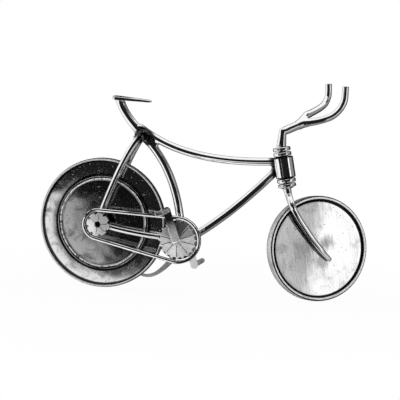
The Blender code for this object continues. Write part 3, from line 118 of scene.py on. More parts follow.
cup_top = HEAD_HALF + JOINT_GAP + RING_HEIGHT
locknut_top = cup_top + RUNNING_GAP + RING_HEIGHT
race_foot = -cup_top - RUNNING_GAP - RACE_HEIGHT
lug_centre = ground + Vector((LUG_FORWARD, 0.0, LUG_HEIGHT))
stay_offset = DROPOUT_INNER + DROPOUT_THICKNESS / 2

head_turn = Matrix.Rotation(-HEAD_LEAN, 3, "Y")
steer_turn = head_turn @ Matrix.Rotation(STEER_AT_REST, 3, "Z")
steer_up = steer_turn @ Vector((0.0, 0.0, 1.0))
crank_turn = Matrix.Rotation(-CRANK_BACK_LEAN, 3, "Y")


# Metal

class Wire:
    """A shader node's output, which takes arithmetic as a number does."""

    def __init__(self, socket):
        self.socket = socket
        self.tree = socket.id_data

    def __add__(self, other):
        return math("ADD", self, other)

    def __radd__(self, other):
        return math("ADD", other, self)

    def __sub__(self, other):
        return math("SUBTRACT", self, other)

    def __rsub__(self, other):
        return math("SUBTRACT", other, self)

    def __mul__(self, other):
        return math("MULTIPLY", self, other)

    def __truediv__(self, other):
        return math("DIVIDE", self, other)


def feed(target, value):
    """Give a node's input a wire or a constant, which may be one level for a grey."""
    if isinstance(value, Wire):
        value.tree.links.new(value.socket, target)
    elif target.type == "RGBA":
        target.default_value = (*value, 1.0) if isinstance(value, tuple) else (value, value, value, 1.0)
    else:
        target.default_value = value


def node(tree, kind, out=0, inputs=(), **values):
    """The named output of a new shader node, given its settings and inputs."""
    made = tree.nodes.new("ShaderNode" + kind)
    for key, value in values.items():
        if key in made.inputs:
            feed(made.inputs[key], value)
        else:
            setattr(made, key, value)
    for target, value in zip(made.inputs, inputs):
        feed(target, value)
    return Wire(made.outputs[out])


def math(operation, *values, clamp=False):
    """A Math node of wires and numbers."""
    tree = next(value.tree for value in values if isinstance(value, Wire))
    return node(tree, "Math", 0, values, operation=operation, use_clamp=clamp)


def vector(operation, *values):
    """A Vector Math node, whose first value is a wire."""
    out = "Value" if operation in ("LENGTH", "DISTANCE", "DOT_PRODUCT") else "Vector"
    return node(values[0].tree, "VectorMath", out, values, operation=operation)


def ramp(value, low, high):
    """A soft step from 0 at low to 1 at high."""
    ends = {"From Min": low, "From Max": high}
    return node(value.tree, "MapRange", "Result", interpolation_type="SMOOTHSTEP", Value=value, **ends)


def blend_colour(factor, one, two):
    """A colour between two."""
    return node(factor.tree, "Mix", "Result", data_type="RGBA", Factor=factor, A=one, B=two)


def tinted(colour, level):
    """A colour made darker by a level."""
    return node(colour.tree, "Mix", "Result", data_type="RGBA", blend_type="MULTIPLY", Factor=1.0,
                A=colour, B=level)


def noise(place, scale, detail, rough=0.55, warp=0.0):
    """Noise of so many cells a metre."""
    return node(place.tree, "TexNoise", "Fac", Vector=place, Scale=scale, Detail=detail, Roughness=rough,
                Distortion=warp)


def bands(place, stops, blend="LINEAR"):
    """Brightness that changes along a value, as (place, tone) stops."""
    made = place.tree.nodes.new("ShaderNodeValToRGB")
    made.color_ramp.interpolation = blend
    feed(made.inputs["Fac"], place)
    elements = made.color_ramp.elements
    for i, (at, tone) in enumerate(stops):
        stop = elements[i] if i < 2 else elements.new(at)
        stop.position = at
        stop.color = (tone, tone, tone, 1.0)
    return Wire(made.outputs["Color"])


def forward_and_up(where):
    """A place's distances forward of and above the middle of a wheel or a piece."""
    forward = node(where.tree, "SeparateXYZ", "X", Vector=where)
    return forward, Wire(forward.socket.node.outputs["Z"])


def silver(name, rough, tarnish, pits, waves, grain, shift=0.0, bright=(0.96, 0.96, 0.955), dull=0.2,
           crevice_shade=0.9, near=2.0 * MM, metal=1.0, marks=()):
    """Hand-polished silver: soft waves, fine scratches, casting pits, thin tarnish, painted shade in crevices
    and its own marks.
    """
    made = bpy.data.materials.new(name)
    made.use_nodes = True
    tree = made.node_tree
    where = node(tree, "TexCoord", "Object")
    place = node(tree, "Mapping", Vector=where, Location=(shift, shift * 0.7, -shift))
    long_way = node(tree, "Mapping", Vector=place, Scale=(0.25, 1.0, 1.0), Rotation=(0.3, 0.7, 0.2))
    fine = noise(place, 2600.0, 2.0)
    lines = noise(long_way, 5200.0, 2.0)
    spots = node(tree, "TexVoronoi", "Distance", Vector=place, Scale=900.0, Randomness=1.0)
    hole = (1.0 - ramp(spots, 0.06, 0.2)) * ramp(noise(place, 420.0, 2.0), 0.5, 0.66)
    pit = math("MULTIPLY", hole, pits, clamp=True)
    speckle = ramp(fine, 0.5, 0.75)
    stain = ramp(noise(place, 210.0, 4.0, 0.6, 0.6), 0.47, 0.72) * (0.7 + speckle * 0.6)
    stain = math("MULTIPLY", stain, tarnish, clamp=True)
    height = noise(place, 150.0, 1.0) * (waves * 3.0) + fine * (grain * 0.22) + lines * (grain * 0.1)
    height = height - pit * 0.6
    colour = blend_colour(pit, blend_colour(stain, bright, dull), 0.03)
    # Painted shade: darker where nearby surfaces crowd in, measured by ambient occlusion
    corner = 1.0 - ramp(node(tree, "AmbientOcclusion", "AO", Distance=near, samples=6), 0.15, 0.8)
    colour = blend_colour(math("MULTIPLY", corner, crevice_shade, clamp=True), colour, 0.015)
    for draw in marks:
        colour, height = draw(where, colour, height)
    matt = math("ADD", rough + stain * 0.3 + speckle * (0.06 * grain), pit * 0.4, clamp=True)
    normal = node(tree, "Bump", Height=height, Strength=1.0, Distance=0.05 * MM)
    shader = tree.nodes["Principled BSDF"]
    for key, value in (("Metallic", metal), ("Base Color", colour), ("Roughness", matt), ("Normal", normal)):
        feed(shader.inputs[key], value)
    return made


def mark(drawing):
    """Make a drawing that is given its own values first, and a metal's surface when it is drawn."""
    return lambda *values: lambda *surface: drawing(*surface, *values)


@mark
def shade_round_joints(where, colour, height, *places):
    """Painted shade: black round places where parts meet, given as point, line direction or None, inner,
    outer radius, tone.
    """
    ragged = (noise(where, 1300.0, 3.0) - 0.5) * (0.9 * MM)
    for point, line, inner, outer, dark in places:
        away = vector("SUBTRACT", where, point)
        if line:
            away = vector("CROSS_PRODUCT", away, line)
        lift = ramp(vector("LENGTH", away) + ragged, inner, outer)
        colour = tinted(colour, lift * (1.0 - dark) + dark)
    return colour, height


@mark
def flecked(where, colour, height, scale, share, tone):
    """Flecks of another brightness: file marks on solder, or pits in a disc."""
    fleck = ramp(noise(where, scale, 2.0), share, share + 0.06)
    return blend_colour(fleck, colour, tone), height


@mark
def dented(where, colour, height, scale, share, depth):
    """Small dents left by casting and handling."""
    dent = ramp(noise(where, scale, 3.0, 0.6), share, share + 0.1)
    return colour, height - dent * depth


@mark
def sectors(where, colour, height, *tones):
    """Painted reflection and shade: facets of differing brightness around a wheel's middle, evenly spaced
    from its front edge.
    """
    x, z = forward_and_up(where)
    share = math("FRACT", math("ARCTAN2", z, x) / (2 * pi) + 1.0)
    stops = [(i / len(tones), tone) for i, tone in enumerate(tones)]
    return tinted(colour, bands(share, stops, "CONSTANT")), height


@mark
def shaded_ends(where, colour, height, start, end, tone):
    """Painted shade and dark reflection: black ends of a tube that lies along its own upright axis."""
    far = ramp(math("ABSOLUTE", forward_and_up(where)[1]), start, end)
    return tinted(colour, 1.0 - far * (1.0 - tone)), height


@mark
def spokes(where, colour, height, angles, reach, start, width=0.09 * MM):
    """Dark hand-cut lines out from the middle of a wheel, in its own XZ plane."""
    x, z = forward_and_up(where)
    wobble = (noise(where, 700.0, 2.0) - 0.5) * (0.35 * MM)
    total = None
    for angle in angles:
        along = x * cos(angle) + z * sin(angle)
        across = z * cos(angle) - x * sin(angle) + wobble
        line = ramp(math("ABSOLUTE", across), width * 1.7, width * 0.6)
        line = line * ramp(along, start, start + 0.15 * MM) * ramp(along, reach, reach - 0.3 * MM)
        total = math("MAXIMUM", total, line) if total else line
    return blend_colour(total, colour, 0.012), height - total * 2.0


@mark
def round_tones(where, colour, height, stops, reach, drift=0.0):
    """Brightness by distance from a wheel's middle, as (radius in millimetres, tone) pairs: painted rings of
    shade and reflection, and tarnish.
    """
    x, z = forward_and_up(where)
    far = math("SQRT", x * x + z * z)
    off_centre = (x * cos(0.6) + z * sin(0.6)) / far * drift
    ragged = (noise(where, 1500.0, 2.0) - 0.5) * (0.14 * MM)
    place = (far - off_centre + ragged) / reach
    return tinted(colour, bands(place, [(radius * MM / reach, tone) for radius, tone in stops])), height


@mark
def cloudy_tarnish_and_reflection(where, colour, height, start, slope, soft, spots):
    """A darker side beyond a slanting line and cloudy spots (x, z, radius, tone), in millimetres: partly
    tarnish, partly painted reflection.
    """
    darker_side_level = 0.5
    x, z = forward_and_up(where)
    flat = node(where.tree, "CombineXYZ", X=x, Z=z)
    streak = node(where.tree, "Mapping", Vector=where, Scale=(1.0, 1.0, 0.18))
    cloud = noise(streak, 700.0, 4.0, 0.65, 0.4) - 0.5
    edge = x - z * slope + cloud * (9.0 * MM)
    level = ramp(edge, (start - soft) * MM, (start + soft) * MM) * (1.0 - darker_side_level) + darker_side_level
    for x, z, radius, dark in spots:
        reach = vector("DISTANCE", flat, (x * MM, 0.0, z * MM)) + cloud * (radius * 1.6 * MM)
        level = level * (ramp(reach, 0.15 * radius * MM, radius * MM) * (1.0 - dark) + dark)
    return tinted(colour, level), height + cloud * 0.3


# Shapes

def bezier(start, first, second, end, count):
    """Points along a smooth curve from start to end."""
    points = []
    for i in range(count + 1):
        t = i / count
        s = 1.0 - t
        points.append(s**3 * start + 3 * s * s * t * first + 3 * s * t * t * second + t**3 * end)
    return points


def aside(point, offset):
    """A point moved forward and up by an offset in millimetres."""
    return Vector((point.x + offset[0] * MM, point.y, point.z + offset[1] * MM))


def sideways(point, distance):
    """A point moved towards the bicycle's left."""
    return point + Vector((0.0, distance, 0.0))


def tube_curve(start, leaves, meets, end, count):
    """A tube's centreline, whose handles are offsets from its own two ends."""
    return bezier(start, aside(start, leaves), aside(end, meets), end, count)


def smooth_through(corners, steps):
    # Painted shade: near-black metal for the steerer seen in the head's gaps, the chain's groove and the disc
    # behind the sprocket
    """A flowing curve that passes through every one of the corners."""
    ends = [2 * corners[0] - corners[1]] + list(corners) + [2 * corners[-1] - corners[-2]]
    points = []
    for i in range(1, len(ends) - 2):
        one, two, three, four = ends[i - 1:i + 3]
        for k in range(steps):
            t = k / steps
            bend = t * t * (2 * one - 5 * two + 4 * three - four)
            twist = t * t * t * (3 * two - 3 * three + four - one)
            points.append(0.5 * (2 * two + t * (three - one) + bend + twist))
    points.append(corners[-1])
    return points


def bridge(shape, one, other):
    """Join two rings of the same number of points."""
    size = len(one)
    for i in range(size):
        j = (i + 1) % size
        shape.faces.new((one[i], one[j], other[j], other[i]))


def skin(sections, capped=True):
    """A surface through rings of points, with flat ends or joined into a loop."""
    shape = bmesh.new()
    rings = [[shape.verts.new(point) for point in section] for section in sections]
    for one, other in zip(rings, rings[1:] if capped else rings[1:] + rings[:1]):
        bridge(shape, one, other)
    if capped:
        shape.faces.new(rings[0])
        shape.faces.new(rings[-1][::-1])
    return shape


def squared(value, power):
    """Push a sine or cosine outwards, so that a circle becomes a rounded square."""
    return abs(value) ** (2.0 / power) * (1.0 if value > 0.0 else -1.0)


def rod(points, radii, sides, edge, power=2.0):
    """A rod along a path, mitred at its bends, with worn round edges at both ends."""
    points = [Vector(point) for point in points]
    kept = [0] + [
        i for i in range(1, len(points) - 1)
        if min((points[i] - points[0]).length, (points[i] - points[-1]).length) > edge * 1.5
    ] + [len(points) - 1]
    radii = [radii[i] for i in kept]
    points = [points[i] for i in kept]
    inwards = [(points[1] - points[0]).normalized(), (points[-2] - points[-1]).normalized()]
    for direction in inwards:
        steps = [(edge * (1 - cos(a)), radii[0] - edge * (1 - sin(a))) for a in (0.45, 0.95, pi / 2)]
        rim = [points[0] + direction * along for along, _ in steps]
        points = (points[:1] + rim + points[1:])[::-1]
        radii = ([radii[0] - edge] + [reach for _, reach in steps] + radii[1:])[::-1]
    runs = [(b - a).normalized() for a, b in zip(points, points[1:])]
    side = Vector((1.0, 0.0, 0.0)) if abs(runs[0].y) > 0.9 else Vector((0.0, 1.0, 0.0))
    sections = []
    for i, point in enumerate(points):
        before = runs[max(i - 1, 0)]
        after = runs[min(i, len(runs) - 1)]
        plane = (before + after).normalized()
        side = (side - side.dot(before) * before).normalized()
        up = before.cross(side)
        section = []
        for k in range(sides):
            angle = 2 * pi * (k + 0.5) / sides
            across = squared(cos(angle), power) * side + squared(sin(angle), power) * up
            offset = radii[i] * across
            offset = offset - before * (offset.dot(plane) / before.dot(plane))
            section.append(point + offset)
        sections.append(section)
    return skin(sections)


def turned(profile, segments, axis="Y", wobble=None):
    """Revolve (radius, height) points, closed into a ring unless they start on the axis."""
    shape = bmesh.new()
    rings = []
    for radius, height in profile:
        ring = []
        for k in range(segments if radius > 0.0 else 1):
            angle = 2 * pi * k / segments
            reach = wobble(radius, angle) if wobble else radius
            x, y = reach * cos(angle), reach * sin(angle)
            ring.append(shape.verts.new((x, height, y) if axis == "Y" else (x, y, height)))
        rings.append(ring)
    pairs = list(zip(rings, rings[1:]))
    if profile[0][0] > 0.0:
        pairs.append((rings[-1], rings[0]))
    for one, other in pairs:
        if len(one) == 1 or len(other) == 1:
            tip, ring = (one[0], other) if len(one) == 1 else (other[0], one)
            for k in range(segments):
                shape.faces.new((tip, ring[k], ring[(k + 1) % segments]))
        else:
            bridge(shape, one, other)
    return shape


def rounded(outer, low, high, edge, steps=4):
    """Profile of a turned pin's outside, with round edges, from its low face to its high face."""
    curve = [(edge * (1 - cos(pi / 2 * i / steps)), edge * (1 - sin(pi / 2 * i / steps)))
             for i in range(steps + 1)]
    return [(outer - b, low + a) for a, b in curve] + [(outer - a, high - b) for a, b in curve]


def sleeve(bore, outer, low, high, edge):
    """Profile of a ring with round outer edges, or of a solid pin where its bore is nothing."""
    return [(bore, low)] + rounded(outer, low, high, edge) + [(bore, high)]


def around(radius, height, offsets):
    """Profile points given by their offsets from one point, in millimetres."""
    return [(radius + out * MM, height + up * MM) for out, up in offsets]


def both_sides(half):
    """Whole profile of a wheel from the profile of its left half."""
    return half + [(radius, -height) for radius, height in half[::-1]]


def plate(outline, low, high):
    """Extrude an outline of (x, z) points between two sideways positions."""
    shape = bmesh.new()
    near = [shape.verts.new((x, low, z)) for x, z in outline]
    far = [shape.verts.new((x, high, z)) for x, z in outline]
    bridge(shape, near, far)
    shape.faces.new(near[::-1])
    shape.faces.new(far)
    return shape


def arc(radius, start, end, count):
    """Points on a circle round the origin, in the XZ plane."""
    angles = [start + (end - start) * i / count for i in range(count + 1)]
    return [(radius * cos(angle), radius * sin(angle)) for angle in angles]


def placed(name, data):
    """A new object in the scene."""
    made = bpy.data.objects.new(name, data)
    bpy.context.collection.objects.link(made)
    return made


def as_mesh(name, shape):
    """A mesh of a finished shape, whose faces all look outwards."""
    bmesh.ops.recalc_face_normals(shape, faces=shape.faces)
    mesh = bpy.data.meshes.new(name)
    shape.to_mesh(mesh)
    shape.free()
    return mesh


def show(name, shape, body, metal, replaces, place=None, turn=None, crease=38.0, soft=0.0,
         second=None):
    """Make a piece that rides on a body and stands for CAD nodes.

    The shape is open for editing, or already a mesh. A second metal comes with a test for its faces.
    """
    weigh = isinstance(shape, bmesh.types.BMesh)
    if weigh:
        if second:
            for face in shape.faces:
                face.material_index = int(second[0](face))
        mesh = as_mesh(name, shape)
        mesh.shade_smooth()
        mesh.set_sharp_from_angle(angle=radians(crease))
    else:
        mesh = shape
    mesh.materials.append(metal)
    if second:
        mesh.materials.append(second[1])
    piece = placed(name, mesh)
    turn = turn.to_4x4() if turn else Matrix.Identity(4)
    piece.matrix_world = Matrix.Translation(place or Vector()) @ turn
    if soft > 0.0:
        step = piece.modifiers.new("soft_edge", "BEVEL")
        step.width = soft
        step.segments = 3
        step.limit_method = "ANGLE"
        step.angle_limit = radians(40.0)
        step.harden_normals = True
    if weigh:
        step = piece.modifiers.new("flat_faces", "WEIGHTED_NORMAL")
        step.keep_sharp = True
        step.weight = 80
    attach(piece, body)
    if isinstance(replaces, str):
        replaces = [replaces]
    if replaces:
        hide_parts(*replaces)


# Soldered castings, whose rods flow into each other

def tube_part(points, radii):
    """A rod for a casting: its points and the radius at each."""
    points = np.array([tuple(p) for p in points])
    if isinstance(radii, float):
        radii = [radii] * len(points)
    return points, np.array(radii)


def far_from(parts, places, melt):
    """Distance of places from the melted parts' surface, and the way out of it."""
    total = np.zeros(len(places))
    slope = np.zeros((len(places), 3))
    for points, radii in parts:
        best = np.full(len(places), 1e9)
        away = np.zeros((len(places), 3))
        for i in range(len(points) - 1):
            run = points[i + 1] - points[i]
            t = np.clip((places - points[i]) @ run / (run @ run), 0.0, 1.0)
            offset = places - points[i] - t[:, None] * run
            length = np.linalg.norm(offset, axis=1) + 1e-12
            distance = length - (radii[i] + t * (radii[i + 1] - radii[i]))
            nearer = distance < best
            best[nearer] = distance[nearer]
            away[nearer] = (offset / length[:, None])[nearer]
        weight = np.exp(-np.clip(best, -3 * MM, 6 * MM) / melt)
        total += weight
        slope += weight[:, None] * away
    slope /= total[:, None]
    return -melt * np.log(total), slope


def vertex_places(mesh):
    """Where a mesh's vertices are, one in each row."""
    places = np.zeros(len(mesh.vertices) * 3)
    mesh.vertices.foreach_get("co", places)
    return places.reshape(-1, 3)


def casting(name, parts, melt, cell, body, metal, replaces=(), keep=None, rough_up=None):
    """One skin round rods that melt into each other, pulled exactly onto their blended surface."""
    shape = bmesh.new()
    for points, radii in parts:
        mesh = as_mesh("part", rod(points, [float(r) for r in radii], 16, 0.1 * MM))
        shape.from_mesh(mesh)
        bpy.data.meshes.remove(mesh)
    mesh = as_mesh(name + "_start", shape)
    start = placed(name + "_start", mesh)
    step = start.modifiers.new("skin", "REMESH")
    step.mode = "VOXEL"
    step.voxel_size = cell
    graph = bpy.context.evaluated_depsgraph_get()
    cast = bpy.data.meshes.new_from_object(start.evaluated_get(graph))
    bpy.data.objects.remove(start)
    bpy.data.meshes.remove(mesh)
    places = vertex_places(cast)
    for _ in range(6):
        distance, slope = far_from(parts, places, melt)
        places -= slope * (distance / np.maximum((slope**2).sum(1), 0.2))[:, None]
    if rough_up:
        places += rough_up(places, slope)
    cast.vertices.foreach_set("co", places.ravel())
    if keep:
        inside = keep(places)
        trim = bmesh.new()
        trim.from_mesh(cast)
        gone = [f for f in trim.faces if not any(inside[v.index] for v in f.verts)]
        bmesh.ops.delete(trim, geom=gone, context="FACES")
        trim.to_mesh(cast)
        trim.free()
    cast.name = name
    cast.shade_smooth()
    if not rough_up:
        _, slope = far_from(parts, vertex_places(cast), melt)
        slope /= np.linalg.norm(slope, axis=1)[:, None]
        cast.normals_split_custom_set_from_vertices(slope)
    cast.materials.clear()
    show(name, cast, body, metal, replaces)


# Frame

def radial_distance(places, centre, axis):
    """Distance of places from a line, and how far along it they are."""
    offset = places - np.array(tuple(centre))
    axis = np.array(tuple(axis))
    along = offset @ axis
    return np.linalg.norm(offset - along[:, None] * axis, axis=1), along


def frame_parts():
    """Centrelines and radii of the rods and lumps that the frame is soldered from."""
    seat = ground + Vector((4.8 * MM, 0.0, 64.53 * MM))
    post = tube_curve(seat, (0.9, -4.6), (-3.3, 3.7), lug_centre, 30)
    post_radii = [1.45 * MM + 0.3 * MM * max(0.0, 1.0 - i / 3) for i in range(31)]
    seat_tube = tube_curve(lug_centre, (8.1, -7.0), (-1.0, 16.5), crank_axle, 50)
    head_end = head_centre + steer_up * 2.05 * MM
    top_tube = tube_curve(aside(lug_centre, (-1.6, 3.1)), (11.2, -8.6), (-22.7, -2.2), head_end, 60)
    down_end = aside(head_centre, (-1.9, -0.4))
    down_tube = tube_curve(aside(crank_axle, (0.9, -1.0)), (9.5, 5.1), (-9.3, -10.2), down_end, 40)
    parts = [(post, post_radii), (seat_tube, 1.35 * MM), (top_tube[2:], 1.27 * MM), (down_tube, 1.3 * MM)]
    for side in (-1.0, 1.0):
        foot = sideways(rear_axle, side * stay_offset)
        crown = aside(sideways(lug_centre, side * 1.32 * MM), (-0.5, -0.9))
        shoulder = aside(crown, (-3.8, -5.0))
        shoulder.y = foot.y
        stay = bezier(aside(foot, (-0.8, 0.4)), aside(foot, (4.5, 14.9)), shoulder, crown, 40)
        parts.append((stay[1:], 1.15 * MM))
        front = sideways(crank_axle, side * 2.9 * MM)
        shoulder = aside(front, (-9.0, 0.2))
        shoulder.y = foot.y
        stay = bezier(foot, aside(foot, (6.0, -1.9)), shoulder, front, 30)
        parts.append((stay[1:], 0.95 * MM))
    head_core = steer_up * 1.4 * MM
    corner = aside(head_centre, (-2.9, 0.0))
    parts += [
        ([head_centre - head_core, head_centre + head_core], 2.75 * MM),
        ([sideways(crank_axle, -1.6 * MM), sideways(crank_axle, 1.6 * MM)], 2.45 * MM),
        ([aside(corner, (-0.6, 0.9)), aside(corner, (-0.5, -2.0))], 0.75 * MM),
        ([aside(lug_centre, (-2.4, -0.4)), aside(lug_centre, (-2.2, -1.8))], 0.8 * MM),
        ([aside(lug_centre, (3.6, -2.0)), aside(lug_centre, (4.9, -3.0))], 0.7 * MM),
    ]
    for side in (-1.0, 1.0):
        eye = sideways(rear_axle, side * stay_offset)
        parts.append(([sideways(eye, -0.25 * MM), sideways(eye, 0.25 * MM)], 0.9 * MM))
    return [tube_part(points, radii) for points, radii in parts]


def build_frame():
    """The soldered frame, its shells and the chain band."""

    def outside_shells(places):
        near_head, along = radial_distance(places, head_centre, steer_up)
        near_shell, _ = radial_distance(places, crank_axle, (0.0, 1.0, 0.0))
        near_eye, _ = radial_distance(places, rear_axle, (0.0, 1.0, 0.0))
        open_head = (near_head > HEAD_RADIUS - 0.15 * MM) | (np.abs(along) > HEAD_HALF)
        return open_head & (near_shell > SHELL_RADIUS - 0.15 * MM) & (near_eye > 1.9 * MM)

    stands_for = ("top_tube", "down_tube", "seat_tube", "seat_post", "head_gusset", "seat_stay_right",
                  "seat_stay_left", "chain_stay_right", "chain_stay_left")
    casting("frame_rods", frame_parts(), 0.28 * MM, 0.24 * MM, "frame", frame_metal, stands_for,
            outside_shells)
    build_lug()
    build_head()
    shell = sleeve(SPINDLE_RADIUS + RUNNING_GAP, SHELL_RADIUS, -SHELL_HALF_WIDTH, SHELL_HALF_WIDTH, 0.25 * MM)
    show("crank_shell", turned(shell, 96), "frame", dim, "bottom_bracket_shell", crank_axle)
    half = DROPOUT_THICKNESS / 2
    for side_name, side in (("right", -1.0), ("left", 1.0)):
        eye = turned(sleeve(1.2 * MM, DROPOUT_RADIUS, -half, half, 0.3 * MM), 96)
        show("axle_eye_" + side_name, eye, "frame", dim, "rear_dropout_" + side_name,
             sideways(rear_axle, side * stay_offset))
    build_saddle()
    build_chain()
    build_stand_bracket()


def build_lug():
    """Rough lump of solder and filler where seat post, tubes and stays meet."""
    parts = []
    for spots, radii in (
        (((-2.1, 2.7), (-0.9, 1.2), (0.6, 0.2), (2.4, -1.7), (3.3, -3.0)),
         [1.0 * MM, 1.6 * MM, 2.05 * MM, 1.9 * MM, 1.4 * MM]),
        (((0.0, 0.3), (-1.5, -1.1)), 1.5 * MM),
        (((0.8, 0.4), (4.0, -1.1)), 1.5 * MM),
    ):
        parts.append(tube_part([aside(lug_centre, spot) for spot in spots], radii))

    def lumps(places, slope):
        size = np.array([noise_field.fractal(Vector(p) * 900.0, 0.9, 2.2, 4) for p in places])
        return slope * (size * 0.16 * MM)[:, None]

    casting("seat_lump", parts, 0.3 * MM, 0.16 * MM, "frame", crusty, "seat_lug", None, lumps)


def build_head():
    """Head tube with worn edges and its banded rings."""
    bore = STEERER_RADIUS + RUNNING_GAP
    tube = sleeve(bore, HEAD_RADIUS, -HEAD_HALF, HEAD_HALF, 0.35 * MM)
    show("head_shell", turned(tube, 128, "Z"), "frame", hammered, "head_tube", head_centre, head_turn)
    low = HEAD_HALF + JOINT_GAP
    for name, foot, top, outer, body, turn, stood_for in (
        ("upper_cup_bands", low, cup_top, RING_RADIUS, "frame", head_turn, "headset_upper_cup"),
        ("lower_cup_bands", -cup_top, -low, 3.1 * MM, "frame", head_turn, "headset_lower_cup"),
        ("locknut_bands", cup_top + RUNNING_GAP, locknut_top, 2.9 * MM, "steering", steer_turn,
         "headset_locknut"),
    ):
        profile = [(bore, foot), (outer - 0.45 * MM, foot)]
        profile += rounded(outer, foot + 0.02 * MM, top - 0.02 * MM, 0.42 * MM, 6)
        profile += [(outer - 0.45 * MM, top), (bore, top)]
        show(name, turned(profile, 128, "Z"), body, banded, stood_for, head_centre, turn)
    top = -cup_top - RUNNING_GAP
    profile = [(bore, race_foot), (1.75 * MM, race_foot), (2.2 * MM, race_foot + 0.28 * MM)]
    profile += rounded(RING_RADIUS, race_foot + 0.4 * MM, top, 0.38 * MM, 6) + [(bore, top)]
    show("lower_race_bands", turned(profile, 128, "Z"), "steering", banded, "headset_lower_race",
         head_centre, steer_turn)
    # The steerer is near-black: painted shade in the head's gaps
    steerer = sleeve(0.0, STEERER_RADIUS, race_foot - STEERER_PAST_RACE, locknut_top, 0.1 * MM)
    show("steerer_rod", turned(steerer, 64, "Z"), "steering", gap_shade, "steerer", head_centre, steer_turn)


def worn_corner(k, count, quarter, half_width, half_height, worn):
    """A point on one of a worn bar's four rounded corners, as distances from its middle."""
    angle = pi / 2 * (quarter + k / count)
    right = 1.0 if quarter in (0, 3) else -1.0
    up = 1.0 if quarter in (0, 1) else -1.0
    return right * (half_width - worn) + worn * cos(angle), up * (half_height - worn) + worn * sin(angle)


def build_saddle():
    """Thin crowned saddle, broad at the back and narrow at the nose."""
    stations = 40
    sections = []
    for i in range(stations + 1):
        part = i / stations
        taper = 0.5 + 0.5 * cos(pi * min(part / 0.72, 1.0))
        half = (1.9 * MM + 4.7 * MM * taper) / 2
        thick = 1.25 * MM - 0.55 * MM * part
        end = min(part / 0.14, (1.0 - part) / 0.08, 1.0)
        rounding = sqrt(max(0.0, 1.0 - (1.0 - end) ** 2))
        half *= 0.5 + 0.5 * rounding
        thick *= 0.45 + 0.55 * rounding
        worn = min(0.2 * MM, thick * 0.4)
        outline = []
        for quarter in range(4):
            outline += [worn_corner(k, 6, quarter, half, thick / 2, worn) for k in range(7)]
            if quarter in (0, 2):
                side = 1.0 if quarter == 0 else -1.0
                outline += [((half - worn) * (1.0 - k / 3) * side, thick / 2 * side) for k in range(1, 6)]
        along = 2.6 * MM + 13.1 * MM * part
        middle = 65.4 * MM - 0.625 * MM - 0.9 * MM * part
        sections.append([
            ground + Vector((along, y, middle + z - 0.35 * MM * (y / half) ** 2)) for y, z in outline
        ])
    show("saddle_plate", skin(sections), "frame", polished_dark, "saddle", soft=0.12 * MM)


# Drive train

def chain_loop():
    """Middle line of the chain: two arcs joined by two straight runs."""
    half = CHAIN_THICKNESS / 2
    rear = SPROCKET_RADIUS + RUNNING_GAP + half
    front = CHAINRING_RADIUS + RUNNING_GAP + half
    across = crank_axle.x - rear_axle.x
    rise = crank_axle.z - rear_axle.z
    line = atan2(rise, across)
    lean = acos((rear - front) / hypot(across, rise))
    loop = []
    for centre, radius, begin, end, count in (
        (rear_axle, rear, line + lean, line - lean + 2 * pi, 60),
        (crank_axle, front, line - lean, line + lean, 80),
    ):
        for i in range(count + 1):
            angle = begin + (end - begin) * i / count
            ray = Vector((cos(angle), 0.0, sin(angle)))
            loop.append((centre + ray * radius, ray))
    return loop


def build_chain():
    """Closed chain band with a groove along its outer face, painted near-black as shade."""
    section = [(1.0, 0.55), (0.93, 0.8), (0.72, 0.95), (-0.72, 1.0), (-0.93, 0.88), (-1.0, 0.7),
               (-1.0, -0.65), (-0.7, -0.9), (-0.1, -1.0), (-0.06, -0.9), (0.06, -0.9), (0.1, -1.0),
               (0.7, -0.9), (1.0, -0.65)]
    groove = {8, 9, 10, 11}
    rings = []
    for point, ray in chain_loop():
        ring = []
        for out, across in section:
            place = point + ray * out * CHAIN_THICKNESS / 2
            place.y = rear_axle.y - CHAIN_OFFSET + across * CHAIN_WIDTH / 2
            ring.append(place)
        rings.append(ring)
    band = skin(rings, capped=False)
    band.verts.index_update()

    def in_groove(face):
        return {vert.index % len(section) for vert in face.verts} <= groove

    show("chain_grooved", band, "frame", polished, "chain_band", crease=25.0, second=(in_groove, gap_shade))


def toothed(rings, angles, edge):
    """Build a toothed wheel from rings of (radius, sideways place, share of the teeth it follows)."""

    def ring(radius, side, share):
        for angle, rim in zip(angles, edge):
            reach = radius + (rim - radius) * share
            yield reach * cos(angle), side(angle) if callable(side) else side, reach * sin(angle)

    return skin([ring(*values) for values in rings], capped=False)


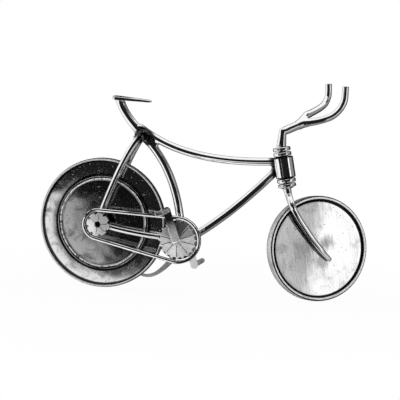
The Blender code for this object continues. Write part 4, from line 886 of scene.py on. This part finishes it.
def build_chainring():
    """Chainring of filed facets between hand-cut lines, with pointed teeth."""
    teeth = 20
    facets = 10
    pitch = 2 * pi / teeth
    root = CHAINRING_RADIUS - 0.75 * MM
    angles = []
    edge = []
    for tooth in range(teeth):
        for part, share in ((-0.46, 0.0), (-0.4, 0.02), (-0.3, 0.25), (-0.15, 0.72), (-0.05, 0.97),
                            (0.0, 1.0), (0.05, 0.94), (0.18, 0.4), (0.28, 0.06), (0.4, 0.0)):
            angles.append((tooth + part) * pitch)
            edge.append(root + share * 0.75 * MM)
    face = -(CHAIN_OFFSET + 0.4 * MM)
    back = face + 0.8 * MM
    inner = -(SHELL_HALF_WIDTH + RUNNING_GAP)
    fan = 2 * pi / facets

    def facet(depth):
        def side(angle):
            step = (angle / fan) % 1.0
            sector = int(angle / fan + facets) % facets
            tilt = (step - 0.5) * 0.1 * MM * sin(3.0 * sector + 1.0) + 0.03 * MM * cos(5.0 * sector)
            return depth + tilt
        return side

    bore = SPINDLE_RADIUS + JOINT_GAP
    foot = root - 0.25 * MM
    rings = [
        (bore, face - 0.5 * MM, 0.0),
        (1.9 * MM, face - 0.48 * MM, 0.0),
        (root * 0.62, facet(face - 0.275 * MM), 0.0),
        (foot, facet(face), 0.0),
        (foot, face + 0.02 * MM, 0.6),
        (foot, face + 0.12 * MM, 1.0),
        (foot, back - 0.12 * MM, 1.0),
        (foot, back, 0.6),
        (2.2 * MM, back, 0.0),
        (2.2 * MM, inner, 0.0),
        (bore, inner, 0.0),
    ]
    show("chainring_cut", toothed(rings, angles, edge), "crankset", segmented, "chainring", crank_axle,
         crank_turn, crease=25.0)
    behind = back + 0.02 * MM
    profile = around(root, behind, [(-0.6, 0.0), (-0.5, 0.0)])
    profile += around(CHAINRING_RADIUS, behind, [(0.0, 0.4), (0.0, 0.5)])
    profile += around(root, behind, [(-0.6, 0.5)])
    show("chainring_backing", turned(profile, 120), "crankset", backing_metal, (), crank_axle, crank_turn)


def notched(angle, lobes, radius, notch):
    """Edge of a round plate whose rim has evenly spaced round notches."""
    pitch = 2 * pi / lobes
    away = abs((angle + pitch / 2) % pitch - pitch / 2) * radius
    if away < notch:
        return radius - sqrt(notch**2 - away**2) * 1.5
    lobe = (away - notch) / (pitch * radius / 2 - notch)
    return radius - 0.12 * MM * (1.0 - lobe) ** 2


def build_sprocket():
    """Sprocket with eight rounded lobes and a boss towards the frame."""
    count = 320
    angles = [2 * pi * k / count for k in range(count)]
    edge = [notched(angle - radians(12.0), 8, SPROCKET_RADIUS, 0.5 * MM) for angle in angles]
    face = -(CHAIN_OFFSET + 0.5 * MM)
    back = face + 1.0 * MM
    root = SPROCKET_RADIUS - 1.1 * MM
    boss_back = -(DROPOUT_INNER + DROPOUT_THICKNESS + RUNNING_GAP)
    bore = 1.1 * MM
    bore_edge = 1.2 * MM
    rings = [(bore, face - 0.2 * MM, 0.0), (bore_edge, face - 0.28 * MM, 0.0)]
    for i in range(1, 9):
        radius = bore_edge + (root - bore_edge) * i / 8
        rings.append((radius, face - 0.3 * MM + 0.32 * MM * (radius / SPROCKET_RADIUS) ** 2, 0.0))
    rings += [
        (root, face - 0.1 * MM, 0.5),
        (root, face - 0.01 * MM, 0.88),
        (root, face + 0.05 * MM, 0.97),
        (root, face + 0.16 * MM, 1.0),
        (root, back - 0.16 * MM, 1.0),
        (root, back, 0.9),
        (1.8 * MM, back, 0.0),
        (1.8 * MM, boss_back, 0.0),
        (bore, boss_back, 0.0),
    ]
    show("sprocket_cut", toothed(rings, angles, edge), "rear_wheel", sprocket_metal, "rear_sprocket",
         rear_axle, crease=30.0)
    # The backing disc behind the sprocket is near-black: painted shade
    behind = back + 0.02 * MM
    disc = sleeve(1.9 * MM, SPROCKET_RADIUS - 0.12 * MM, behind, behind + 0.3 * MM, 0.1 * MM)
    show("sprocket_backing", turned(disc, 96), "rear_wheel", gap_shade, (), rear_axle)


# Wheels

def beyond(radius):
    """Whether a wheel's face is farther out than a radius."""

    def test(face):
        middle = face.calc_center_median()
        return hypot(middle.x, middle.z) > radius

    return test


def build_rear_wheel():
    """Dished disc wheel with an uneven soldered bead, a groove and a thin rim painted with a bright
    reflection band.
    """
    web = REAR_WEB
    bead = REAR_BEAD_RADIUS
    rim = REAR_RADIUS - REAR_RIM_DEPTH
    bore = 1.1 * MM
    dish_start = 3.2 * MM
    half = around(bore, REAR_HUB_HALF_WIDTH, [(0.0, -0.05), (0.05, 0.0)])
    half += around(0.0, REAR_HUB_HALF_WIDTH, [(2.4, 0.0), (2.55, -0.07), (2.6, -0.2)])
    half += around(0.0, web, [(2.75, 0.2), (3.2, 0.1)])
    for i in range(1, 15):
        part = i / 14
        radius = dish_start + (bead - 0.95 * MM - dish_start) * part
        half.append((radius, web + 0.1 * MM - 0.32 * MM * part**2))
    half += around(bead, web, [
        (-0.75, -0.24), (-0.55, -0.05), (-0.45, 0.16), (-0.33, 0.34), (-0.22, 0.39), (-0.11, 0.34),
        (0.02, 0.1), (0.12, 0.02), (0.3, 0.12), (0.48, 0.2), (0.62, 0.1), (0.74, -0.2), (0.92, -0.26),
        (1.08, -0.04), (1.25, 0.01), (3.0, 0.02),
    ])
    half += around(rim, web, [(-0.9, -0.1), (-0.35, -0.18), (-0.05, -0.22), (0.1, 0.02)])
    half += around(rim, REAR_RIM_HALF_WIDTH, [(0.22, -0.04), (0.4, 0.0), (0.62, -0.12), (0.8, -0.42)])
    half += [(REAR_RADIUS, REAR_RIM_HALF_WIDTH - 0.75 * MM), (REAR_RADIUS, 0.25 * MM)]

    def uneven(radius, angle):
        near = max(0.0, 1.0 - abs(radius - bead) / (1.8 * MM))
        drift = 0.45 * MM * cos(angle - 0.6) + 0.12 * MM * sin(3 * angle)
        drift += 0.05 * MM * sin(11 * angle + 1.0)
        return radius + near * drift

    def lumpy(radius, angle):
        swell = 1.0 + 0.2 * sin(23 * angle) * sin(7 * angle + 0.4)
        middle = bead - 0.3 * MM
        return uneven(middle, angle) + (radius - middle) * swell

    show("rear_wheel_dish", turned(both_sides(half), 220, wobble=uneven), "rear_wheel", rear_metal,
         "rear_wheel_disc", rear_axle, crease=55.0, second=(beyond(rim + 0.08 * MM), rim_metal))
    for side_name, side in (("right", -1.0), ("left", 1.0)):
        wire = []
        for i in range(14):
            angle = 2 * pi * i / 14
            height = side * (web + 0.28 * MM) + 0.2 * MM * sin(angle)
            wire.append((bead - 0.3 * MM + 0.21 * MM * cos(angle), height))
        show("bead_wire_" + side_name, turned(wire, 220, wobble=lumpy), "rear_wheel", bead_metal, (),
             rear_axle)

    cap_inner = DROPOUT_INNER + DROPOUT_THICKNESS + RUNNING_GAP
    end = -(CHAIN_OFFSET + 0.5 * MM) + 0.7 * MM
    profile = [(0.0, end), (0.9 * MM, end), (0.9 * MM, cap_inner)]
    profile += sleeve(0.0, 1.6 * MM, cap_inner, cap_inner + 0.8 * MM, 0.3 * MM)[1:]
    show("rear_axle_pin", turned(profile, 64), "rear_wheel", pin_metal, "rear_axle", rear_axle)
    build_sprocket()


def build_front_wheel():
    """Flat disc with a cut groove inside its round rim, which also stands for the bush it runs on."""
    web = FRONT_WEB
    rim = FRONT_RADIUS - FRONT_RIM_DEPTH
    roll = 0.6 * MM
    face_start = 2.2 * MM
    half = around(0.8 * MM, web, [(0.0, -0.03), (0.03, 0.0), (0.06, 0.0), (0.3, 0.0)])
    for i in range(1, 12):
        part = i / 11
        radius = face_start + (rim - 0.75 * MM - face_start) * part
        half.append((radius, web - 0.08 * MM * sin(pi * part)))
    half += around(rim, web, [(-0.5, -0.02), (-0.42, -0.1), (-0.3, -0.3), (-0.08, -0.3), (0.0, -0.2)])
    for i in range(13):
        angle = pi * (1.0 - i / 12 * 0.86)
        half.append((rim + roll + roll * cos(angle), FRONT_RIM_HALF_WIDTH - roll + roll * sin(angle)))
    half += [(FRONT_RADIUS, FRONT_RIM_HALF_WIDTH - 0.8 * MM), (FRONT_RADIUS, 0.3 * MM)]
    show("front_wheel_dish", turned(both_sides(half), 220), "front_wheel", front_metal,
         ("front_wheel_disc", "front_hub_bush"), front_axle, steer_turn, crease=50.0,
         second=(beyond(rim + 0.04 * MM), tread_metal))


# Steering

def ease(value):
    """Rise smoothly from 0 to 1."""
    value = min(max(value, 0.0), 1.0)
    return value * value * (3.0 - 2.0 * value)


def build_fork():
    """One rod that wraps over the tyre, runs down beside the disc and ends past the axle."""
    beside_rim = FRONT_RIM_HALF_WIDTH + 0.25 * MM + FORK_RADIUS
    beside_web = FRONT_WEB + 0.3 * MM + FORK_RADIUS
    start = race_foot - STEERER_PAST_RACE - JOINT_GAP
    drop = -AXLE_DROP - start
    corners = []
    for part, bow in ((-0.03, 0.0), (0.07, 0.75), (0.15, 1.7), (0.24, 2.4), (0.34, 2.6), (0.5, 2.4),
                      (0.66, 1.85), (0.83, 1.15), (1.0, 0.25)):
        out = beside_rim * ease(part / 0.27) - (beside_rim - beside_web) * ease((part - 0.45) / 0.5)
        corners.append(Vector((FORK_RAKE * part - bow * MM, -out, start + drop * part)))
    at_axle = corners[-1]
    run = (at_axle - corners[-2]).normalized()
    tail = 5.6 * MM
    inwards = Vector((0.0, 0.35 * MM / tail, 0.0))
    for reach in (0.5, 1.0):
        turn = Matrix.Rotation(-radians(6.0) * reach, 3, "Y")
        corners.append(at_axle + (turn @ run + inwards) * tail * reach)
    path = smooth_through(corners, 9)
    radii = []
    for i in range(len(path)):
        share = i / (len(path) - 1)
        neck = 0.28 * MM * max(0.0, 1.0 - share / 0.1)
        tip = 0.35 * MM * max(0.0, (share - 0.8) / 0.2)
        radii.append(FORK_RADIUS + neck - tip)
    show("fork_rod", rod(path, radii, 64, 0.3 * MM, 2.12), "steering", blade_metal, "fork_blade",
         head_centre, steer_turn, crease=60.0)
    outer = beside_web + FORK_RADIUS
    stop = FRONT_WEB + RUNNING_GAP
    profile = around(0.0, -outer, [(0.0, 0.25), (0.42, 0.25), (0.5, 0.33)]) + [(0.5 * MM, stop)]
    profile += sleeve(0.0, 1.05 * MM, stop, stop + 0.55 * MM, 0.25 * MM)[1:]
    place = head_centre + steer_turn @ Vector((FORK_RAKE, 0.0, -AXLE_DROP))
    show("front_axle_pin", turned(profile, 48), "steering", satin, "front_axle", place, steer_turn)


def build_bars():
    """Stem with its sharp elbow, and two horns soldered to its front end."""
    foot = Vector((0.0, 0.0, locknut_top + JOINT_GAP))
    elbow = foot + Vector((1.3 * MM, 0.0, 4.7 * MM))
    front = elbow + Vector((8.1 * MM, 0.0, 1.85 * MM))

    def world(points):
        return [head_centre + steer_turn @ point for point in points]

    stem = [foot.lerp(elbow, i / 6) for i in range(6)] + [elbow.lerp(front, i / 8) for i in range(8)]
    radii = [1.6 * MM - 0.4 * MM * i / 6 for i in range(6)] + [1.2 * MM] + [1.36 * MM] + [1.42 * MM] * 6
    show("stem_rod", rod(world(stem), radii, 48, 0.1 * MM), "steering", polished, "stem", crease=50.0)

    def horn(start, shares, side, rise):
        corners = [
            start + Vector((14.1 * MM * ahead, side * 5.6 * MM * out, rise * up))
            for ahead, out, up in shares
        ]
        return smooth_through(corners, 8)

    right = horn(front, [
        (0.02, 0.17, -0.02), (0.24, 0.46, -0.02), (0.41, 0.7, 0.01), (0.57, 0.86, 0.07),
        (0.73, 0.955, 0.21), (0.85, 0.99, 0.385), (0.925, 1.0, 0.57), (1.0, 1.0, 1.0),
    ], -1.0, 9.6 * MM)
    left = horn(front + Vector((0.0, 0.0, 2.2 * MM)), [
        (0.0, 0.08, 0.0), (0.15, 0.2, 0.02), (0.365, 0.43, 0.09), (0.575, 0.66, 0.18),
        (0.74, 0.84, 0.29), (0.85, 0.95, 0.45), (0.915, 0.99, 0.64), (0.96, 1.0, 1.0),
    ], 1.0, 9.3 * MM)
    slim = HORN_RADIUS - 1.1 * MM
    for side_name, path, hidden in (("right", right, 0), ("left", left, 12)):
        last = len(path) - 1
        radii = [HORN_RADIUS - slim * i / last for i in range(last + 1)]
        show(f"horn_{side_name}_rod", rod(world(path[hidden:]), radii[hidden:], 48, 0.25 * MM), "steering",
             polished, "handlebar_horn_" + side_name, crease=60.0)
    parts = [
        tube_part(world([elbow.lerp(front, 0.72), front]), [1.4 * MM, 1.48 * MM]),
        tube_part(world(right[:12]), [1.25 * MM] * 6 + [1.24 * MM - 0.02 * MM * i for i in range(6)]),
        tube_part(world([elbow.lerp(front, 0.75), left[7]] + left[9:15]),
                  [1.25 * MM] * 4 + [1.22 * MM - 0.03 * MM * i for i in range(4)]),
    ]
    casting("bar_solder", parts, 0.38 * MM, 0.18 * MM, "steering", solder_metal)


# Cranks, pedals and stand

def crank_arm(middle, direction):
    """Bowed flat arm with rounded ends and worn edges, upwards or downwards from its spindle."""
    low, high = 1.4 * MM, 1.175 * MM
    heights = [-low * cos(pi / 2 * i / 10) for i in range(10)]
    heights += [CRANK_LENGTH * i / 24 for i in range(25)]
    heights += [CRANK_LENGTH + high * sin(pi / 2 * i / 10) for i in range(1, 11)]
    outward = 1.0 if middle > 0 else -1.0
    sections = []
    for z in heights:
        share = min(max(z / CRANK_LENGTH, 0.0), 1.0)
        reach = low + (high - low) * share
        past = max(-z, z - CRANK_LENGTH, 0.0)
        half = max(sqrt(max(0.0, reach**2 - past**2)), 0.25 * MM)
        bow = outward * (0.15 * MM - 0.9 * MM * (z / CRANK_LENGTH - 0.38) ** 2)
        thick = CRANK_THICKNESS / 2 - 0.2 * MM * (past / reach) ** 3
        worn = min(0.25 * MM, half * 0.8)
        corners = [worn_corner(k, 5, quarter, half, thick, worn) for quarter in range(4) for k in range(6)]
        sections.append([(x, middle + bow + y, z * direction) for x, y in corners])
    return skin(sections)


def build_cranks():
    """Spindle, crank arms with worn edges, pedals and their pins."""
    spindle = sleeve(0.0, SPINDLE_RADIUS, SPINDLE_RIGHT_END, SPINDLE_LEFT_END, 0.08 * MM)
    show("spindle_rod", turned(spindle, 48), "crankset", dim, "crank_spindle", crank_axle, crank_turn)
    for name, inner, side, metal, pedal_metal, pedal_at, tilt in (
        ("right", CRANK_INNER_RIGHT, -1.0, crank_metal, near_pedal_metal, right_pedal_axle, 13.0),
        ("left", CRANK_INNER_LEFT, 1.0, satin, far_pedal_shaded, left_pedal_axle, 30.0),
    ):
        show("crank_arm_" + name, crank_arm(side * (inner + CRANK_THICKNESS / 2), -side), "crankset",
             metal, "crank_" + name, crank_axle, crank_turn, crease=60.0)
        outer = inner + CRANK_THICKNESS + RUNNING_GAP
        low, high = sorted((side * (inner + 0.5 * MM + JOINT_GAP), side * (outer + 4.0 * MM)))
        pin = turned(sleeve(0.0, 0.35 * MM, low, high, 0.05 * MM), 32)
        show("pedal_pin_rod_" + name, pin, "crankset", dim, "pedal_pin_" + name, pedal_at)
        show("pedal_tube_" + name, pedal_tube(side, side * outer), "pedal_" + name, pedal_metal,
             "pedal_" + name, pedal_at, Matrix.Rotation(-radians(tilt), 3, "Y"), crease=50.0)
    build_chainring()


def pedal_tube(side, start):
    """Flattened tube, open at its outer end, with rolled edges."""
    end = start + side * PEDAL_LENGTH
    floor = end - side * 0.6 * MM

    def oval(shrink, y):
        points = []
        tall = 0.85 * MM - shrink
        flat = 0.6 * MM
        for k in range(64):
            angle = 2 * pi * (k + 0.5) / 64
            x = tall * cos(angle) + (flat if cos(angle) > 0 else -flat)
            points.append(Vector((x, y, tall * sin(angle))))
        return points

    soft = 0.1 * MM * side
    return skin([oval(shrink * MM, y) for shrink, y in (
        (0.12, start), (0.03, start + soft * 0.5), (0.0, start + soft * 1.4), (0.0, end - soft),
        (0.04, end - soft * 0.25), (0.12, end), (0.35, end), (0.43, end - soft), (0.43, floor),
    )])


def build_stand_bracket():
    """Lug and pin that the side stand turns on."""
    inner = 0.8 * MM
    outer = 2.3 * MM
    foot = (crank_axle.z - stand_axle.z) * 0.75
    outline = arc(1.15 * MM, pi, 2 * pi, 24) + [(1.4 * MM, foot), (-0.2 * MM, foot)]
    show("stand_lug", plate(outline, inner, outer), "frame", dim, "stand_bracket", stand_axle,
         soft=0.2 * MM)
    profile = [(0.0, inner), (0.4 * MM, inner), (0.4 * MM, 4.0 * MM)]
    profile += sleeve(0.0, 0.85 * MM, 4.0 * MM, 4.3 * MM, 0.12 * MM)[1:]
    show("stand_rivet", turned(profile, 40), "frame", dim, "stand_pin", stand_axle)


def build_stand():
    """Flat curved side stand with an eye, tapering to its tip."""
    tip = Vector((-16.4 * MM, 0.0, -8.2 * MM))
    first = Vector((0.33 * tip.x, 0.0, 0.84 * tip.z))
    second = Vector((0.62 * tip.x, 0.0, tip.z - 5.0 * MM))
    path = bezier(Vector(), first, second, tip, 48)
    upper, lower = [], []
    for i, point in enumerate(path):
        run = (path[min(i + 1, 48)] - path[max(i - 1, 0)]).normalized()
        width = 1.84 * MM * (1.0 - i / 48) ** 0.9 + 0.4 * MM
        normal = Vector((-run.z, 0.0, run.x))
        upper.append(point + normal * width / 2)
        lower.append(point - normal * width / 2)
    begin = atan2(lower[7].z, lower[7].x)
    end = atan2(upper[7].z, upper[7].x)
    if end < begin:
        end += 2 * pi
    outline = arc(1.15 * MM, begin, end, 32) + [(p.x, p.z) for p in upper[8:] + lower[:7:-1]]
    show("stand_blade", plate(outline, 2.6 * MM, 3.7 * MM), "side_stand", stand_metal, "side_stand",
         stand_axle, soft=0.15 * MM)


# Studio

def axes(turn, tip):
    """The right, up and outward directions of a view from so many degrees round and up."""
    turn, tip = radians(turn), radians(tip)
    right = Vector((cos(turn), sin(turn), 0.0))
    up = Vector((-sin(turn) * sin(tip), cos(turn) * sin(tip), cos(tip)))
    return right, up, Vector((sin(turn) * cos(tip), -cos(turn) * cos(tip), sin(tip)))


def empty_tree(owner):
    """An empty node tree of a new material or world."""
    owner.use_nodes = True
    owner.node_tree.nodes.clear()
    return owner.node_tree


def finish_tree(tree, kind, surface):
    """Send a surface or a background to the node tree's output."""
    feed(tree.nodes.new("ShaderNodeOutput" + kind).inputs["Surface"], surface)


def set_stage(name, points, paint):
    """A flat stage piece, given its corners in metres and what makes its surface."""
    mesh = bpy.data.meshes.new(name)
    mesh.from_pydata(points, [], [tuple(range(len(points)))])
    made = placed(name, mesh)
    cover = bpy.data.materials.new(name + "_cover")
    tree = empty_tree(cover)
    finish_tree(tree, "Material", paint(tree))
    mesh.materials.append(cover)
    return made


def build_floor():
    """Pale floor, which looks white to the camera and keeps the object's shadow."""

    def paper(tree):
        paint = node(tree, "BsdfDiffuse", Color=0.88)
        glow = node(tree, "Emission", Strength=1.0)
        far = vector("LENGTH", node(tree, "TexCoord", "Object"))
        white = 0.955 + ramp(far, 0.05, 0.14) * 0.045
        seen = node(tree, "LightPath", "Is Camera Ray")
        return node(tree, "MixShader", 0, (seen * white, paint, glow))

    size = 3.0
    corners = [(-size, -size, 0.0), (size, -size, 0.0), (size, size, 0.0), (-size, size, 0.0)]
    set_stage("floor", corners, paper).visible_glossy = False


def build_cards():
    """Dark cards near the object, which only its reflections show."""
    upright = [
        ("dark_card", [(-98, 66), (-122, 42), (-122, 25), (-76, 24), (-61, -5), (-54, -21), (-40, -22),
                       (-31, 4), (-20, 20), (-4, 24), (-4, 38), (-22, 46), (-33, 62), (-33, 220),
                       (-95, 220)]),
        ("side_card", [(100, 52), (200, 52), (200, 105), (100, 105)]),
    ]
    cards = [(name, [(x, -92, z) for x, z in corners]) for name, corners in upright]
    below = [(28, -9), (2, -34), (14, -56), (34, -84), (50, -32), (42, -14)]
    cards.append(("low_card", [(x, y, 0.2) for x, y in below]))
    for name, corners in cards:
        points = [(x * MM, y * MM, z * MM) for x, y, z in corners]
        made = set_stage(name, points, lambda tree: node(tree, "Emission", Color=0.012, Strength=1.0))
        made.visible_camera = False
        made.visible_diffuse = False
        made.visible_shadow = False


def build_world():
    """White surroundings with grey and black patches and one dark opening."""
    world = bpy.data.worlds.new("studio")
    bpy.context.scene.world = world
    tree = empty_tree(world)
    way = node(tree, "TexCoord", "Generated")

    def patches(level, spots):
        for turn, tip, half, soft, bright in spots:
            toward = vector("DOT_PRODUCT", way, axes(turn, tip)[2])
            inside = ramp(toward, cos(radians(half + soft)), cos(radians(half - soft)))
            level = (1.0 - inside) * level + inside * bright
        return level

    # Patches of the surroundings: direction from the front and up, half-width, softness, brightness
    level = patches(0.98, [
        (112.0, -5.0, 46.0, 6.0, 0.26), (180.0, -10.0, 56.0, 6.0, 0.02), (88.0, -52.0, 34.0, 8.0, 0.22),
        (4.0, -48.0, 19.0, 4.0, 0.02), (44.0, -6.0, 15.0, 4.0, 0.42), (67.0, 4.0, 10.0, 3.0, 1.3),
    ])
    # The dark opening's edges: a direction on each, then which way is in (sideways, up)
    opening = None
    for turn, tip, across, upwards in (
        (-14.0, -13.0, 0.82, 0.57), (15.0, -34.0, 0.0, 1.0), (52.0, 5.0, -0.94, 0.34),
        (5.0, 50.0, 0.0, -1.0), (-47.0, 22.0, 1.0, 0.0),
    ):
        right, up, _ = axes(turn, tip)
        depth = vector("DOT_PRODUCT", way, right * across + up * upwards)
        opening = math("MINIMUM", opening, depth) if opening else depth
    level = level * (1.0 - ramp(opening, sin(radians(-4.0)), sin(radians(3.0))) * 0.987)
    level = patches(level, [
        (34.0, -23.0, 12.0, 3.0, 0.4), (38.0, 48.0, 12.0, 3.0, 0.02), (66.0, 56.0, 9.0, 3.0, 0.03),
        (77.0, 38.0, 11.0, 3.0, 0.03), (85.0, 21.0, 8.0, 3.0, 0.1),
    ])
    seen = node(tree, "LightPath", "Is Camera Ray")
    strength = (1.0 - seen) * level + seen
    finish_tree(tree, "World", node(tree, "Background", Color=1.0, Strength=strength))


def build_lamps():
    """Two soft lamps, which the metal doesn't mirror."""
    for name, place, size, power in (
        ("key_softbox", (-0.25, -0.1, 0.45), 0.3, 0.35),
        ("side_softbox", (0.3, -0.4, 0.16), 0.22, 0.9),
    ):
        lamp = bpy.data.lights.new(name, "AREA")
        lamp.shape = "SQUARE"
        lamp.size = size
        lamp.energy = power
        made = placed(name, lamp)
        made.location = place
        aim = Vector((0.0, 0.0, 30.0 * MM))
        made.rotation_euler = (aim - Vector(place)).to_track_quat("-Z", "Y").to_euler()
        made.visible_glossy = False


def build_camera():
    """Camera at the viewing angle, in front and a little to the right."""
    roll = radians(2.0)
    millimetres_away = 433.33
    aim = ground + Vector((33.52 * MM, 0.0, 31.65 * MM))
    right, up, back = axes(12.7, 6.0)
    across = right * cos(roll) + up * sin(roll)
    top = up * cos(roll) - right * sin(roll)
    camera = bpy.data.cameras.new("camera")
    camera.lens = 117.0
    camera.sensor_width = 36.0
    camera.clip_start = 0.01
    made = placed("camera", camera)
    facing = Matrix((across, top, back)).transposed().to_4x4()
    made.matrix_world = Matrix.Translation(aim + back * millimetres_away * MM) @ facing
    bpy.context.scene.camera = made


# The metal of each piece

polished = silver("polished_rod", 0.07, 0.12, 0.5, 0.25, 0.2)
# Painted shade: black on the rods where they meet the head tube and round the seat lug
frame_metal = silver("frame_polish", 0.07, 0.12, 0.5, 0.25, 0.2, 0.02, marks=[shade_round_joints(
    (head_centre, steer_up, HEAD_RADIUS + 0.5 * MM, HEAD_RADIUS + 2.0 * MM, 0.03),
    (aside(lug_centre, (1.0, -0.6)), None, 2.9 * MM, 4.2 * MM, 0.05),
)])
gap_shade = silver("painted_gap_shade", 0.25, 1.0, 0.5, 0.4, 0.8, bright=0.12, dull=0.01)
satin = silver("satin_worn", 0.35, 0.3, 0.4, 0.3, 0.6, 0.04, metal=0.15)
# Painted shade: the far pedal gets a greyer, duller metal than the near pedal's
far_pedal_shaded = silver("far_pedal_grey", 0.3, 0.8, 0.6, 0.3, 0.6, 0.045, bright=0.6, dull=0.12, metal=0.4)
pin_metal = silver("pin_turning", 0.2, 0.6, 0.6, 0.2, 0.5, 0.07, marks=[
    # Painted shade: the pin's end black in the middle, as a dark hole
    round_tones([(0.0, 0.02), (0.75, 0.03), (0.95, 0.9), (1.6, 0.95)], 2.0 * MM),
])
polished_dark = silver("polished_saddle", 0.12, 0.5, 0.6, 0.3, 0.35, 0.03)
dim = silver("dim_turning", 0.2, 0.6, 0.6, 0.2, 0.5, 0.05)
crusty = silver("crusty_solder", 0.16, 1.3, 0.5, 1.5, 5.0, bright=0.06, dull=0.01, marks=[
    flecked(2300.0, 0.64, 0.95),
])
# Painted shade: the head tube's ends are black, for the shadow in the gaps at its cups
hammered = silver("hammered_shell", 0.08, 0.15, 0.6, 1.0, 0.3, 0.08, marks=[
    shaded_ends(HEAD_HALF - 0.5 * MM, HEAD_HALF - 0.3 * MM, 0.02),
])
banded = silver("banded_ring", 0.12, 0.9, 0.6, 0.7, 0.5, 0.1)
blade_metal = silver("fork_polish", 0.07, 0.08, 0.3, 0.2, 0.15, 0.12)
# Painted reflection: the crank arm's outer part, towards the pedal, is black where it mirrors dark
# surroundings
crank_metal = silver("crank_polish", 0.14, 0.35, 0.9, 0.5, 0.5, 0.14, metal=0.7, marks=[
    dented(1300.0, 0.6, 3.0), shaded_ends(3.6 * MM, 7.4 * MM, 0.04),
])
# Painted shade: a dark spot in the crotch where the horns meet
crotch = head_centre + steer_turn @ Vector((10.6 * MM, -1.3 * MM, locknut_top + 5.9 * MM))
solder_metal = silver("bar_solder_polish", 0.07, 0.12, 0.5, 0.25, 0.2, 0.15, crevice_shade=0.6, marks=[
    shade_round_joints((crotch, None, 0.3 * MM, 1.2 * MM, 0.05)),
])
near_pedal_metal = silver("pedal_polish", 0.16, 0.3, 0.5, 0.4, 0.4, 0.16, metal=0.75)
stand_metal = silver("stand_brushed", 0.3, 0.5, 0.4, 0.3, 0.6, 0.18)
rear_metal = silver("rear_disc", 0.12, 0.75, 0.9, 0.8, 1.0, 0.2, marks=[
    dented(1100.0, 0.67, 1.6),
    # Painted shade and reflection: black rings at the bead's foot and outer slope, in the groove and before
    # the rim, bright rings on the bead; the inner disc darker as tarnish
    round_tones([
        (2.0, 0.4), (13.9, 0.42), (14.3, 0.2), (14.7, 0.9), (15.0, 1.0), (15.12, 0.04), (15.42, 0.06),
        (15.6, 0.6), (15.78, 0.5), (15.92, 0.05), (16.5, 0.05), (16.75, 0.8), (20.5, 0.84), (20.75, 0.05),
        (21.1, 0.03),
    ], 23.0 * MM, 0.45 * MM),
])
rim_metal = silver("rear_rim", 0.14, 0.5, 0.7, 0.4, 0.8, 0.21, crevice_shade=0.3, metal=0.5, marks=[
    # Painted reflection: a black line, a white band and a black edge round the rim
    round_tones([(20.9, 0.02), (21.24, 0.02), (21.32, 1.0), (21.7, 1.0), (21.8, 0.04), (22.05, 0.04)],
                23.0 * MM),
])
bead_metal = silver("bead_solder", 0.25, 0.6, 0.8, 1.5, 2.0, 0.22, crevice_shade=0.0, metal=0.15, marks=[
    flecked(1200.0, 0.54, 0.1),
])
front_metal = silver("front_disc", 0.12, 0.3, 0.9, 0.2, 0.6, 0.23, 0.98, crevice_shade=0.6, near=1.6 * MM, marks=[
    # Partly tarnish, partly painted reflection: the disc darker beyond a slanting line, with cloudy grey
    # spots
    cloudy_tarnish_and_reflection(-1.7, 0.36, 3.5, [(3.0, 1.5, 4.2, 0.3), (0.4, -4.4, 4.2, 0.45), (-2.6, 3.2, 1.6, 0.7)]),
    flecked(1500.0, 0.67, 0.05),
    # Painted shade: a black ring in the groove inside the rim
    round_tones([(2.0, 1.0), (15.1, 1.0), (15.4, 0.85), (15.5, 0.03), (16.2, 0.02)], 18.0 * MM, -0.1 * MM),
])
tread_metal = silver("front_rim", 0.14, 0.6, 1.0, 0.5, 0.8, 0.24, crevice_shade=0.3, metal=0.2, marks=[
    dented(900.0, 0.66, 3.0),
    # Painted reflection: a black line, a white band, a black band and a light outer edge round the rolled rim
    round_tones([(16.2, 0.02), (16.3, 0.03), (16.42, 1.0), (16.85, 1.0), (16.95, 0.02), (17.33, 0.02),
                 (17.39, 0.9)], 18.0 * MM, 0.08 * MM),
])
segmented = silver("chainring_filed", 0.22, 0.5, 0.6, 0.4, 0.6, 0.25, crevice_shade=0.5, metal=0.3, marks=[
    # Painted reflection and shade: facets darker towards the top front, bright below and behind
    sectors(0.5, 0.12, 0.16, 0.6, 0.9, 1.0, 0.95, 0.85, 1.0, 1.0),
    spokes([2 * pi * i / 10 + 0.1 * sin(5.0 * i) for i in range(10)], 5.7 * MM, 1.4 * MM),
])
backing_metal = silver("backing_ring", 0.14, 0.5, 0.5, 0.4, 0.6, 0.27, crevice_shade=0.2, metal=0.4, marks=[
    # Painted shade: the backing ring black all round except near its front
    sectors(1.0, 0.9, 0.05, 0.03, 0.03, 0.03, 0.03, 0.05, 0.9, 1.0),
])
sprocket_metal = silver("sprocket_filed", 0.24, 0.3, 0.6, 0.4, 0.5, 0.28, crevice_shade=0.4, metal=0.55, marks=[
    spokes([radians(a) for a in (5, 80, 140, 262, 318)], 3.6 * MM, 1.0 * MM, 0.07 * MM),
])

build_frame()
build_rear_wheel()
build_front_wheel()
build_fork()
build_bars()
build_cranks()
build_stand()
build_floor()
build_cards()
build_world()
build_lamps()
build_camera()

bpy.context.scene.view_settings.view_transform = "Standard"
bpy.context.view_layer.update()
